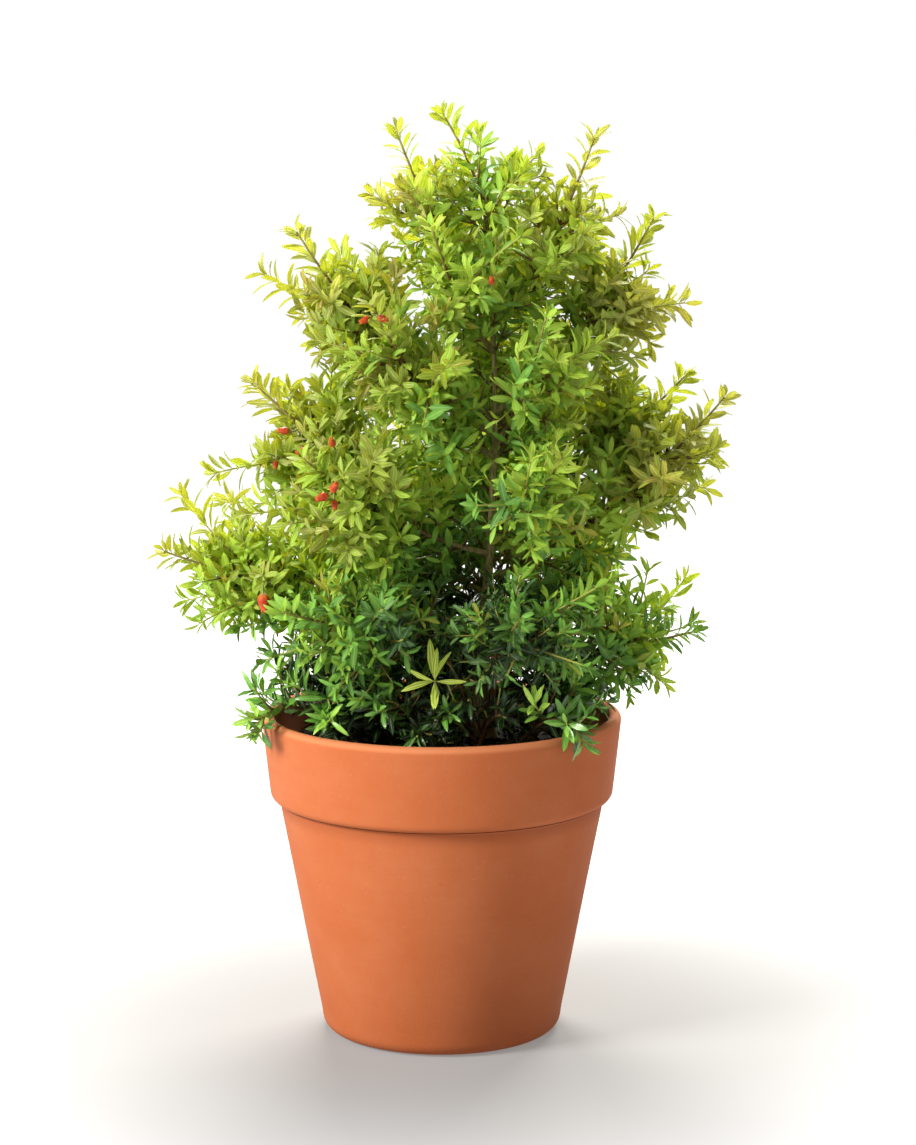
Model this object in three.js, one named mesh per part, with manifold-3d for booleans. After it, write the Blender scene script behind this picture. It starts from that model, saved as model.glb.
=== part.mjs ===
// Potted dwarf pomegranate tree: a clay flowerpot, its soil, one woody stem, the leafy limbs that
// grow from it, low sprigs round its foot and red flower buds. Millimetres, +Z up. The origin is on
// the pot's axis at the level that it stands on, +X is to the right and -Y is the front.
import * as THREE from 'three';
import { mergeVertices } from 'three/addons/utils/BufferGeometryUtils.js';
import Module from 'manifold-3d';

const manifold = await Module();
manifold.setup();

// ---- driving dimensions ----
const POT_HEIGHT = 228;
const RIM_RADIUS = 127;
const BAND_HEIGHT = 61; // the thick band below the mouth
const BAND_FOOT_RADIUS = 121.5;
const BODY_TOP_RADIUS = 114.5; // the wall where it meets the band
const BASE_RADIUS = 85;
const POT_WALL = 9;
const POT_FLOOR = 12;
const DRAIN_RADIUS = 11;
const POT_SIDES = 40;

const GAP = 0.3; // clearance that touching pieces keep
const SOIL_TOP = 204;
const SOIL_RISE = 5; // the soil mounds up this much at the middle

const STEM_FOOT = new THREE.Vector3(30, 4, SOIL_TOP - 46); // buried end of the woody stem
const STEM_TOP = new THREE.Vector3(33, 6, 548);
const STEM_FOOT_RADIUS = 7;
const STEM_TOP_RADIUS = 1.6;

const LIMB_RADIUS = 2.3;
const SHOOT_RADIUS = 1.2;
const TWIG_END_RADIUS = 0.65;

const LEAF_LENGTH = 23;
const LEAF_WIDTH = 6.5;
const LEAF_THICKNESS = 1.2;
const LEAF_SPREAD = THREE.MathUtils.degToRad(52); // between a leaf and the shoot it grows on
const LEAF_ROOT = 0.6; // how far a side blade starts behind its stalk's middle
const END_LEAF_ROOT = 2.4; // how far the end blade starts inside its stalk
const RING_STEP = 40; // between a stalk's rings, which are also its leaf pairs

const BUD_LENGTH = 9;

// ---- the plant's habit ----
// Each limb leaves the stem at a height and ends at its tip. Its side shoots leave it at a share of
// its length and end at their own tips: [share, x, y, z].
const LIMBS = [
  { name: 'limb_leader', height: null, tip: [1, 0, 646], shoots: [[0.35, 52, 26, 612]] },
  { name: 'limb_crown_left', height: 520, tip: [-31, 16, 634], shoots: [[0.4, -12, 60, 604]] },
  { name: 'limb_crown_right', height: 500, tip: [105, -10, 630], shoots: [[0.45, 121, -32, 578]] },
  { name: 'limb_crown_front', height: 482, tip: [-6, -72, 572], shoots: [[0.4, 54, -76, 566]] },
  { name: 'limb_crown_back', height: 492, tip: [44, 92, 574], shoots: [[0.45, -28, 98, 556]] },
  {
    name: 'limb_high_left',
    height: 424,
    tip: [-99, -14, 566],
    shoots: [[0.35, -125, 24, 536], [0.5, -72, 60, 548]],
  },
  {
    name: 'limb_high_right',
    height: 440,
    tip: [148, 20, 574],
    shoots: [[0.4, 167, -24, 518], [0.5, 96, 58, 560]],
  },
  {
    name: 'limb_high_front',
    height: 408,
    tip: [-46, -96, 522],
    shoots: [[0.4, 10, -128, 486], [0.55, -84, -66, 496]],
  },
  {
    name: 'limb_high_front_right',
    height: 416,
    tip: [70, -102, 514],
    shoots: [[0.4, 116, -76, 500]],
  },
  {
    name: 'limb_high_back',
    height: 400,
    tip: [70, 142, 496],
    shoots: [[0.35, 0, 140, 496], [0.42, 124, 110, 482]],
  },
  {
    name: 'limb_middle_left',
    height: 356,
    tip: [-130, -10, 462],
    shoots: [[0.45, -156, -38, 402], [0.4, -132, 56, 452]],
  },
  {
    name: 'limb_middle_right',
    height: 372,
    tip: [172, 36, 462],
    shoots: [[0.4, 160, 84, 424], [0.45, 132, -20, 458]],
  },
  {
    name: 'limb_middle_front_left',
    height: 340,
    tip: [-92, -100, 420],
    shoots: [[0.45, -44, -134, 424], [0.5, -132, -74, 378]],
  },
  {
    name: 'limb_middle_front_right',
    height: 348,
    tip: [80, -128, 424],
    shoots: [[0.4, 24, -158, 396]],
  },
  {
    name: 'limb_long_right',
    height: 322,
    tip: [196, -14, 452],
    shoots: [[0.5, 150, -80, 404], [0.55, 186, 22, 384]],
  },
  {
    name: 'limb_middle_back',
    height: 330,
    tip: [20, 172, 404],
    shoots: [[0.4, -60, 150, 412], [0.45, 96, 152, 396]],
  },
  {
    name: 'limb_middle_back_left',
    height: 312,
    tip: [-116, 112, 404],
    shoots: [[0.45, -158, 66, 368]],
  },
  {
    name: 'limb_low_left',
    height: 290,
    tip: [-193, -18, 345],
    shoots: [[0.55, -182, 14, 380], [0.5, -166, -54, 300]],
  },
  {
    name: 'limb_low_front_left',
    height: 280,
    tip: [-104, -136, 322],
    shoots: [[0.45, -122, -88, 280], [0.4, -36, -164, 330]],
  },
  {
    name: 'limb_low_front_right',
    height: 270,
    tip: [52, -158, 322],
    shoots: [[0.45, 116, -114, 342], [0.5, 98, -142, 286]],
  },
  {
    name: 'limb_low_right',
    height: 262,
    tip: [176, -38, 292],
    shoots: [[0.5, 172, 10, 322], [0.45, 152, -72, 262]],
  },
  {
    name: 'limb_low_back_right',
    height: 278,
    tip: [136, 112, 330],
    shoots: [[0.45, 76, 152, 316]],
  },
  {
    name: 'limb_low_back_left',
    height: 268,
    tip: [-84, 136, 318],
    shoots: [[0.45, -148, 78, 302], [0.4, -16, 164, 308]],
  },
];

// Low sprigs rise from the soil at [x, y], arch through a highest bend and end at a tip.
const SPRIGS = [
  { name: 'sprig_over_left_rim', foot: [-55, -24], bend: [-112, -46, 262], tip: [-130, -56, 224] },
  { name: 'sprig_over_front_rim', foot: [46, -44], bend: [84, -90, 262], tip: [96, -104, 226] },
  { name: 'sprig_left', foot: [-62, 8], bend: [-74, 4, 246], tip: [-98, -4, 250] },
  { name: 'sprig_front_left', foot: [-32, -42], bend: [-46, -56, 250], tip: [-74, -72, 248] },
  { name: 'sprig_front', foot: [-12, -58], bend: [-10, -76, 232], tip: [-16, -98, 230] },
  { name: 'sprig_rosette', foot: [-4, -30], bend: [-4, -60, 262], tip: [-4, -96, 268] },
  { name: 'sprig_front_right', foot: [24, -56], bend: [32, -72, 246], tip: [44, -92, 242] },
  { name: 'sprig_right', foot: [80, -16], bend: [90, -22, 244], tip: [106, -36, 244] },
  { name: 'sprig_back_left', foot: [-44, 48], bend: [-54, 56, 244], tip: [-76, 70, 242] },
  { name: 'sprig_back', foot: [2, 66], bend: [4, 76, 242], tip: [6, 96, 240] },
];

// Flower buds: the middle of each, the way its mouth points, and its size beside BUD_LENGTH.
const BUDS = [
  { at: [-50, -98, 512], points: [-0.7, -0.5, -0.3], size: 1 },
  { at: [-38, -99, 513], points: [0.7, -0.5, -0.2], size: 1 },
  { at: [-107, -60, 434], points: [-1, -0.2, 0.1], size: 1.1 },
  { at: [-94, -76, 422], points: [-0.9, -0.3, -0.3], size: 1 },
  { at: [-72, -104, 431], points: [-0.2, -0.6, 0.7], size: 0.9 },
  { at: [-113, -47, 409], points: [-0.1, -0.2, -1], size: 0.8 },
  { at: [-70, -128, 404], points: [0.4, -0.5, 0.7], size: 1.1 },
  { at: [-78, -124, 397], points: [-0.7, -0.5, -0.2], size: 1.2 },
  { at: [-70, -118, 391], points: [0.1, -0.4, -0.9], size: 0.9 },
  { at: [-120, -77, 318], points: [0.1, -0.3, -1], size: 1.7 },
  { at: [34, -82, 537], points: [-0.1, -0.4, 0.9], size: 0.8 },
];

// ---- materials ----
const clay = new THREE.MeshStandardMaterial({ color: 0xc8743f, roughness: 0.85, metalness: 0 });
const compost = new THREE.MeshStandardMaterial({ color: 0x1d1611, roughness: 1, metalness: 0 });
const bark = new THREE.MeshStandardMaterial({ color: 0x6b4a31, roughness: 0.9, metalness: 0 });
const sunlitLeaf = new THREE.MeshStandardMaterial({ color: 0x9fb53a, roughness: 0.5, metalness: 0 });
const middleLeaf = new THREE.MeshStandardMaterial({ color: 0x6c8c2c, roughness: 0.5, metalness: 0 });
const shadeLeaf = new THREE.MeshStandardMaterial({ color: 0x2c5420, roughness: 0.4, metalness: 0 });
const petalRed = new THREE.MeshStandardMaterial({ color: 0xb8351a, roughness: 0.4, metalness: 0 });

// ---- from a geometry to a solid and back ----
function solidFrom(geometry) {
  const bare = geometry.clone();
  bare.deleteAttribute('normal');
  bare.deleteAttribute('uv');
  const welded = mergeVertices(bare, 1e-4);
  const vertProperties = new Float32Array(welded.attributes.position.array);
  const triVerts = new Uint32Array(welded.index.array);
  return new manifold.Manifold(new manifold.Mesh({ numProp: 3, vertProperties, triVerts }));
}

function geometryFrom(solid) {
  const { vertProperties, triVerts } = solid.getMesh();
  const geometry = new THREE.BufferGeometry();
  geometry.setAttribute('position', new THREE.BufferAttribute(new Float32Array(vertProperties), 3));
  geometry.setIndex(new THREE.BufferAttribute(new Uint32Array(triVerts), 1));
  geometry.computeVertexNormals();
  return geometry;
}

function named(name, geometry, material) {
  const mesh = new THREE.Mesh(geometry, material);
  mesh.name = name;
  return mesh;
}

// A lathe turns about +Y, so it is stood up on +Z.
function turned(profile, sides) {
  return new THREE.LatheGeometry(profile, sides).rotateX(Math.PI / 2);
}

// ---- pot ----
function arc(centreX, centreY, radius, from, to, steps) {
  const points = [];
  for (let i = 0; i <= steps; i += 1) {
    const angle = THREE.MathUtils.degToRad(THREE.MathUtils.lerp(from, to, i / steps));
    points.push(new THREE.Vector2(
      centreX + radius * Math.cos(angle),
      centreY + radius * Math.sin(angle),
    ));
  }
  return points;
}

const bandFoot = POT_HEIGHT - BAND_HEIGHT;

function innerRadiusAt(z) {
  const share = (z - POT_FLOOR) / (POT_HEIGHT - POT_FLOOR);
  return THREE.MathUtils.lerp(BASE_RADIUS - POT_WALL + 1, RIM_RADIUS - POT_WALL, share);
}

function potGeometry() {
  const baseCorner = 9;
  const bandCorner = 6;
  const lip = POT_WALL / 2;
  const profile = [
    new THREE.Vector2(DRAIN_RADIUS, 0),
    ...arc(BASE_RADIUS - baseCorner, baseCorner, baseCorner, -90, -6, 3),
    new THREE.Vector2(BODY_TOP_RADIUS, bandFoot - 1),
    ...arc(BAND_FOOT_RADIUS - bandCorner, bandFoot + bandCorner, bandCorner, -90, 0, 3),
    ...arc(RIM_RADIUS - lip, POT_HEIGHT - lip, lip, 0, 180, 6),
    new THREE.Vector2(innerRadiusAt(POT_FLOOR), POT_FLOOR),
    new THREE.Vector2(DRAIN_RADIUS, POT_FLOOR),
    new THREE.Vector2(DRAIN_RADIUS, 0),
  ];
  return turned(profile, POT_SIDES);
}

// ---- soil, with a socket for the buried foot of the stem ----
function soilGeometry() {
  const under = POT_FLOOR + GAP;
  const profile = [
    new THREE.Vector2(0, under),
    new THREE.Vector2(innerRadiusAt(under) - 2 * GAP, under),
    new THREE.Vector2(innerRadiusAt(SOIL_TOP) - 2 * GAP, SOIL_TOP),
    new THREE.Vector2(0.7 * RIM_RADIUS, SOIL_TOP + 0.3 * SOIL_RISE),
    new THREE.Vector2(0.4 * RIM_RADIUS, SOIL_TOP + SOIL_RISE),
    new THREE.Vector2(0, SOIL_TOP + SOIL_RISE),
  ];
  const socketDepth = SOIL_TOP - STEM_FOOT.z + 4 * SOIL_RISE;
  const socketRadius = STEM_FOOT_RADIUS + 1;
  const socket = new THREE.CylinderGeometry(socketRadius, socketRadius, socketDepth, 16);
  socket.rotateX(Math.PI / 2);
  socket.translate(STEM_FOOT.x, STEM_FOOT.y, STEM_FOOT.z - GAP + socketDepth / 2);
  return geometryFrom(solidFrom(turned(profile, POT_SIDES)).subtract(solidFrom(socket)));
}

// ---- wood: a closed round tube that tapers along a curve ----
function taperedTube(curve, radiusAt, steps, sides) {
  const frames = curve.computeFrenetFrames(steps, false);
  const positions = [];
  const triangles = [];
  const around = (ring, side) => ring * sides + (side % sides);
  for (let ring = 0; ring <= steps; ring += 1) {
    const centre = curve.getPointAt(ring / steps);
    const radius = radiusAt(ring / steps);
    for (let side = 0; side < sides; side += 1) {
      const angle = (2 * Math.PI * side) / sides;
      const point = centre.clone()
        .addScaledVector(frames.normals[ring], radius * Math.cos(angle))
        .addScaledVector(frames.binormals[ring], radius * Math.sin(angle));
      positions.push(...point.toArray());
    }
  }
  for (let ring = 0; ring < steps; ring += 1) {
    for (let side = 0; side < sides; side += 1) {
      const [a, b] = [around(ring, side), around(ring, side + 1)];
      const [c, d] = [around(ring + 1, side + 1), around(ring + 1, side)];
      triangles.push(a, b, c, a, c, d);
    }
  }
  for (let side = 1; side < sides - 1; side += 1) {
    triangles.push(around(0, 0), around(0, side + 1), around(0, side));
    triangles.push(around(steps, 0), around(steps, side), around(steps, side + 1));
  }
  const geometry = new THREE.BufferGeometry();
  geometry.setAttribute('position', new THREE.Float32BufferAttribute(positions, 3));
  geometry.setIndex(triangles);
  return geometry;
}

// The stem runs straight up out of its socket, then leans a little to and fro.
const stemCurve = new THREE.CatmullRomCurve3([
  STEM_FOOT,
  new THREE.Vector3(STEM_FOOT.x, STEM_FOOT.y, SOIL_TOP + 2 * SOIL_RISE),
  new THREE.Vector3(28, 3, 262),
  new THREE.Vector3(33, 2, 330),
  new THREE.Vector3(37, 3, 400),
  new THREE.Vector3(38, 4, 455),
  STEM_TOP,
]);

// The stem keeps its foot radius to just above the soil, flares in quickly and then thins evenly.
function stemRadiusAtHeight(z) {
  if (z < SOIL_TOP + SOIL_RISE) return STEM_FOOT_RADIUS;
  const share = (z - SOIL_TOP - SOIL_RISE) / (STEM_TOP.z - SOIL_TOP - SOIL_RISE);
  return THREE.MathUtils.lerp(STEM_TOP_RADIUS, STEM_FOOT_RADIUS, (1 - share) ** 2.3);
}

function stemGeometry() {
  const radiusAt = (share) => stemRadiusAtHeight(stemCurve.getPointAt(share).z);
  return taperedTube(stemCurve, radiusAt, 14, 8);
}

function stemPointAtHeight(z) {
  const samples = stemCurve.getPoints(400);
  return samples.reduce((best, point) => (Math.abs(point.z - z) < Math.abs(best.z - z) ? point : best));
}

// ---- limbs and sprigs as curves ----
// A limb leaves the stem low and sweeps up to its tip.
function limbCurve({ height, tip }) {
  const end = new THREE.Vector3(...tip);
  if (height === null) {
    const start = STEM_TOP.clone().add(new THREE.Vector3(0, 0, 3 * GAP));
    return new THREE.QuadraticBezierCurve3(start, start.clone().setZ((start.z + end.z) / 2), end);
  }
  const axis = stemPointAtHeight(height);
  const out = end.clone().sub(axis).setZ(0).normalize();
  const rise = 0.3 * (end.z - axis.z);
  const reach = 0.55 * Math.hypot(end.x - axis.x, end.y - axis.y);
  const slope = rise / Math.hypot(rise, reach);
  const clear = stemRadiusAtHeight(height) + 2 * GAP + LIMB_RADIUS * slope;
  const start = axis.clone().addScaledVector(out, clear);
  const control = start.clone().addScaledVector(out, reach).setZ(axis.z + rise);
  return new THREE.QuadraticBezierCurve3(start, control, end);
}

// A side shoot sets out along its limb and turns towards its own tip.
function shootCurve(limb, share, tip) {
  const start = limb.getPoint(share);
  const length = start.distanceTo(tip);
  const control = start.clone().addScaledVector(limb.getTangent(share), 0.4 * length);
  return new THREE.QuadraticBezierCurve3(start, control, tip);
}

function sprigCurve({ foot, bend, tip }) {
  const start = new THREE.Vector3(foot[0], foot[1], SOIL_TOP + SOIL_RISE + 2 * GAP);
  return new THREE.QuadraticBezierCurve3(start, new THREE.Vector3(...bend), new THREE.Vector3(...tip));
}

function taper(from, to) {
  return (share) => THREE.MathUtils.lerp(from, to, share);
}

function limbStalks(limb) {
  const main = limbCurve(limb);
  const thick = limb.height === null ? STEM_TOP_RADIUS : LIMB_RADIUS;
  const stalks = [{ curve: main, radiusAt: taper(thick, TWIG_END_RADIUS), bare: 0.4 }];
  for (const [share, ...tip] of limb.shoots) {
    const curve = shootCurve(main, share, new THREE.Vector3(...tip));
    stalks.push({ curve, radiusAt: taper(SHOOT_RADIUS, TWIG_END_RADIUS), bare: 0.3 });
  }
  return stalks;
}

function sprigStalks(sprig) {
  return [{ curve: sprigCurve(sprig), radiusAt: taper(SHOOT_RADIUS, TWIG_END_RADIUS), bare: 0.35 }];
}

// ---- room: every stalk, bud and leaf is also a line with a width, so growth can keep clear ----
const occupied = [];

function occupy(owner, start, end, radius) {
  occupied.push({ owner, line: new THREE.Line3(start, end), radius });
}

function isClear(owner, start, end, radius) {
  const line = new THREE.Line3(start, end);
  return occupied.every((other) => {
    if (other.owner === owner) return true;
    const reach = other.radius + radius + 2 * GAP;
    return line.distanceSqToLine3(other.line) > reach * reach;
  });
}

function occupyStalk(owner, { curve, radiusAt }) {
  const steps = 12;
  const points = curve.getPoints(steps);
  for (let i = 0; i < steps; i += 1) {
    occupy(owner, points[i], points[i + 1], radiusAt(i / steps));
  }
}

// ---- leaves: flat eight-sided blades in crossed pairs ----
function leafGeometry(base, direction, facing) {
  const across = facing.clone().cross(direction).normalize();
  const normal = direction.clone().cross(across).normalize();
  const blade = new THREE.OctahedronGeometry(1);
  blade.scale(LEAF_LENGTH / 2, LEAF_WIDTH / 2, LEAF_THICKNESS / 2);
  blade.applyMatrix4(new THREE.Matrix4().makeBasis(direction, across, normal));
  const middle = base.clone().addScaledVector(direction, LEAF_LENGTH / 2);
  return blade.translate(middle.x, middle.y, middle.z);
}

function leafDirections(tangent, turn) {
  const aside = new THREE.Vector3(0, 0, 1).cross(tangent);
  if (aside.lengthSq() < 0.01) aside.set(1, 0, 0);
  aside.normalize().applyAxisAngle(tangent, turn);
  return [aside, aside.clone().negate()].map((side) => tangent.clone()
    .multiplyScalar(Math.cos(LEAF_SPREAD))
    .addScaledVector(side, Math.sin(LEAF_SPREAD))
    .normalize());
}

function insidePotWall(point) {
  const radius = Math.hypot(point.x, point.y);
  return point.z < POT_HEIGHT + LEAF_WIDTH
    && radius > innerRadiusAt(SOIL_TOP) - LEAF_WIDTH
    && radius < RIM_RADIUS + LEAF_WIDTH;
}

function isInPotOrSoil(base, tip) {
  const middle = base.clone().lerp(tip, 0.5);
  const isOverPot = Math.hypot(tip.x, tip.y) < RIM_RADIUS;
  const isInSoil = isOverPot && tip.z < SOIL_TOP + SOIL_RISE + LEAF_WIDTH;
  return isInSoil || [base, middle, tip].some(insidePotWall);
}

function ringCount(curve) {
  return Math.max(3, Math.round(curve.getLength() / RING_STEP));
}

// Each blade is rooted a little inside its stalk, at one of the stalk's own rings.
function growLeaves(owner, { curve, bare }) {
  const rings = ringCount(curve);
  const leaves = [];
  const grow = (ring, direction, facing, root) => {
    const base = curve.getPointAt(ring / rings).addScaledVector(direction, -root);
    const tip = base.clone().addScaledVector(direction, LEAF_LENGTH);
    if (!isClear(owner, base, tip, LEAF_WIDTH / 2) || isInPotOrSoil(base, tip)) return;
    leaves.push(leafGeometry(base, direction, facing));
    occupy(owner, base, tip, LEAF_WIDTH / 2);
  };
  for (let ring = Math.ceil(bare * rings); ring < rings; ring += 1) {
    const tangent = curve.getTangentAt(ring / rings);
    const turn = ring % 2 ? Math.PI / 2 : 0;
    leafDirections(tangent, turn).forEach((direction) => {
      grow(ring, direction, tangent, LEAF_ROOT);
    });
  }
  const end = curve.getTangentAt(1);
  grow(rings, end, leafDirections(end, 0)[0], END_LEAF_ROOT);
  return leaves;
}

function stalkGeometry({ curve, radiusAt }) {
  return taperedTube(curve, radiusAt, ringCount(curve), 5);
}

// ---- buds: a fleshy vase that opens in a pointed crown ----
function budGeometry({ at, points, size }) {
  const half = (size * BUD_LENGTH) / 2;
  const profile = [[0, -1], [0.26, -0.85], [0.6, -0.3], [0.62, 0.15], [0.42, 0.6], [0.5, 0.9], [0, 1]]
    .map(([radius, height]) => new THREE.Vector2(radius * half, height * half));
  const bud = new THREE.LatheGeometry(profile, 6);
  const mouth = new THREE.Vector3(...points).normalize();
  bud.applyQuaternion(new THREE.Quaternion().setFromUnitVectors(new THREE.Vector3(0, 1, 0), mouth));
  return bud.translate(...at);
}

function occupyBud(name, { at, points, size }) {
  const half = (size * BUD_LENGTH) / 2;
  const mouth = new THREE.Vector3(...points).normalize();
  const middle = new THREE.Vector3(...at);
  const base = middle.clone().addScaledVector(mouth, -half);
  occupy(name, base, middle.clone().addScaledVector(mouth, half), 0.62 * half);
}

// ---- putting it together ----
function leafFor(limb) {
  return limb.tip[2] > 500 ? sunlitLeaf : middleLeaf;
}

const leafy = [
  ...LIMBS.map((limb) => ({ name: limb.name, stalks: limbStalks(limb), material: leafFor(limb) })),
  ...SPRIGS.map((sprig) => ({ name: sprig.name, stalks: sprigStalks(sprig), material: shadeLeaf })),
];
const buds = BUDS.map((bud, i) => ({ name: `flower_bud_${String(i + 1).padStart(2, '0')}`, ...bud }));

occupyStalk('stem', { curve: stemCurve, radiusAt: () => STEM_FOOT_RADIUS });
leafy.forEach(({ name, stalks }) => stalks.forEach((stalk) => occupyStalk(name, stalk)));
buds.forEach((bud) => occupyBud(bud.name, bud));

function leafyMesh({ name, stalks, material }) {
  const pieces = stalks.map(stalkGeometry);
  stalks.forEach((stalk) => pieces.push(...growLeaves(name, stalk)));
  const solid = pieces.map(solidFrom).reduce((whole, piece) => whole.add(piece));
  return named(name, geometryFrom(solid), material);
}

const tree = new THREE.Group();
tree.add(named('clay_pot', potGeometry(), clay));
tree.add(named('soil', soilGeometry(), compost));
tree.add(named('woody_stem', stemGeometry(), bark));
leafy.forEach((piece) => tree.add(leafyMesh(piece)));
buds.forEach((bud) => tree.add(named(bud.name, budGeometry(bud), petalRed)));

export default tree;
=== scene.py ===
import dataclasses
import math

import bpy
import numpy as np
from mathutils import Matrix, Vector


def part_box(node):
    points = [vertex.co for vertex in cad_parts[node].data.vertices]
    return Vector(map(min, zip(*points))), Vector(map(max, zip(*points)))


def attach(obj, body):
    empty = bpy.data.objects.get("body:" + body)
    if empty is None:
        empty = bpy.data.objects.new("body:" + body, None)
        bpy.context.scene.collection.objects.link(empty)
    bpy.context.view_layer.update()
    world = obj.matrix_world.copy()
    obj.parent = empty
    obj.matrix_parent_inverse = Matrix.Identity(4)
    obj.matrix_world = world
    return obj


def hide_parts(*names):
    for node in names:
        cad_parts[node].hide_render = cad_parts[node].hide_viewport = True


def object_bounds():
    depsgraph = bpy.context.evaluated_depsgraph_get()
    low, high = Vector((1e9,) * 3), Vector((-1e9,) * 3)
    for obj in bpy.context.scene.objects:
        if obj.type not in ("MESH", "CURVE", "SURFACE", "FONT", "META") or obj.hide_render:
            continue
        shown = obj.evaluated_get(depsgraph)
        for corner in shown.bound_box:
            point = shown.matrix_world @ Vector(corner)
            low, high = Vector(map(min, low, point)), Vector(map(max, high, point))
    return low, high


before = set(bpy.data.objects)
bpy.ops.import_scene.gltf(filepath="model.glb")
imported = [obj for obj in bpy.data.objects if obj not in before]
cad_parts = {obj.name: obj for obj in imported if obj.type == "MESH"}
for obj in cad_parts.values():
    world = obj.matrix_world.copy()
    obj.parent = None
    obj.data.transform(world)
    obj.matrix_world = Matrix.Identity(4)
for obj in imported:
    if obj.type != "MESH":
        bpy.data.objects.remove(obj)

bl_info = {
    "name": "Potted Pomegranate Tree",
    "version": (1, 0, 0),
    "blender": (4, 5, 0),
    "location": "3D View > Sidebar > Potted Tree",
    "description": "Makes a dwarf pomegranate tree in a clay pot, on a plain stage",
    "category": "Object",
}

CAD_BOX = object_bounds()
BODY = "root"
MM = 0.001

POT_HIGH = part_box("clay_pot")[1]
SOIL_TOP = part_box("soil")[1].z
UP = np.array([0.0, 0.0, 1.0])
TURN = 2 * math.pi

# The plant's habit, in millimetres. Each limb leaves the stem at a height and ends at its tip, and
# its side shoots leave it at a share of its length and end at their own tips.
LIMBS = {
    "limb_leader": (None, (1, 0, 646), [(0.35, 52, 26, 612)]),
    "limb_crown_left": (520, (-31, 16, 634), [(0.4, -12, 60, 604)]),
    "limb_crown_right": (500, (105, -10, 630), [(0.45, 121, -32, 578)]),
    "limb_crown_front": (482, (-6, -72, 572), [(0.4, 54, -76, 566)]),
    "limb_crown_back": (492, (44, 92, 574), [(0.45, -28, 98, 556)]),
    "limb_high_left": (424, (-99, -14, 566), [(0.35, -125, 24, 536), (0.5, -72, 60, 548)]),
    "limb_high_right": (440, (148, 20, 574), [(0.4, 167, -24, 518), (0.5, 96, 58, 560)]),
    "limb_high_front": (408, (-46, -96, 522), [(0.4, 10, -128, 486), (0.55, -84, -66, 496)]),
    "limb_high_front_right": (416, (70, -102, 514), [(0.4, 116, -76, 500)]),
    "limb_high_back": (400, (70, 142, 496), [(0.35, 0, 140, 496), (0.42, 124, 110, 482)]),
    "limb_middle_left": (356, (-130, -10, 462), [(0.45, -156, -38, 402), (0.4, -132, 56, 452)]),
    "limb_middle_right": (372, (172, 36, 462), [(0.4, 160, 84, 424), (0.45, 132, -20, 458)]),
    "limb_middle_front_left": (
        340, (-92, -100, 420), [(0.45, -44, -134, 424), (0.5, -132, -74, 378)]
    ),
    "limb_middle_front_right": (348, (80, -128, 424), [(0.4, 24, -158, 396)]),
    "limb_long_right": (322, (196, -14, 452), [(0.5, 150, -80, 404), (0.55, 186, 22, 384)]),
    "limb_middle_back": (330, (20, 172, 404), [(0.4, -60, 150, 412), (0.45, 96, 152, 396)]),
    "limb_middle_back_left": (312, (-116, 112, 404), [(0.45, -158, 66, 368)]),
    "limb_low_left": (290, (-193, -18, 345), [(0.55, -182, 14, 380), (0.5, -166, -54, 300)]),
    "limb_low_front_left": (
        280, (-104, -136, 322), [(0.45, -122, -88, 280), (0.4, -36, -164, 330)]
    ),
    "limb_low_front_right": (
        270, (52, -158, 322), [(0.45, 116, -114, 342), (0.5, 98, -142, 286)]
    ),
    "limb_low_right": (262, (176, -38, 292), [(0.5, 172, 10, 322), (0.45, 152, -72, 262)]),
    "limb_low_back_right": (278, (136, 112, 330), [(0.45, 76, 152, 316)]),
    "limb_low_back_left": (268, (-84, 136, 318), [(0.45, -148, 78, 302), (0.4, -16, 164, 308)]),
}

# Low sprigs: the foot on the soil, the bend that the sprig arches towards, its tip, and how many
# shoots its clump has.
SPRIGS = {
    "sprig_over_left_rim": ((-55, -24), (-112, -46, 262), (-130, -56, 224), 3),
    "sprig_over_front_rim": ((46, -44), (84, -90, 262), (96, -104, 226), 2),
    "sprig_left": ((-62, 8), (-74, 4, 246), (-98, -4, 250), 6),
    "sprig_front_left": ((-32, -42), (-46, -56, 250), (-74, -72, 248), 5),
    "sprig_front": ((-12, -58), (-10, -76, 232), (-16, -98, 230), 4),
    "sprig_rosette": ((-4, -30), (-4, -60, 262), (-4, -96, 268), 1),
    "sprig_front_right": ((24, -56), (32, -72, 246), (44, -92, 242), 5),
    "sprig_right": ((80, -16), (90, -22, 244), (106, -36, 244), 6),
    "sprig_back_left": ((-44, 48), (-54, 56, 244), (-76, 70, 242), 6),
    "sprig_back": ((2, 66), (4, 76, 242), (6, 96, 240), 6),
}

# Gaps in the leaves, in millimetres: from x to x, from z to z, and in front of y.
GAPS = [(25, 49, 335, 500, 3), (20, 38, 212, 266, 3), (-33, 19, 252, 284, -60)]

# The way each bud's mouth points. Its place and size come from the frame.
BUD_MOUTHS = [
    (-0.7, -0.5, -0.3), (0.7, -0.5, -0.2), (-1, -0.2, 0.1), (-0.9, -0.3, -0.3),
    (-0.2, -0.6, 0.7), (-0.1, -0.2, -1), (0.4, -0.5, 0.7), (-0.7, -0.5, -0.2),
    (0.1, -0.4, -0.9), (0.1, -0.3, -1), (-0.1, -0.4, 0.9),
]

# The stem's line above the soil, in millimetres.
STEM_LINE = [
    (30, 4, 158), (30, 4, 214), (28, 3, 262), (33, 2, 330), (37, 3, 400), (38, 4, 455),
    (33, 6, 548),
]

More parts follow.
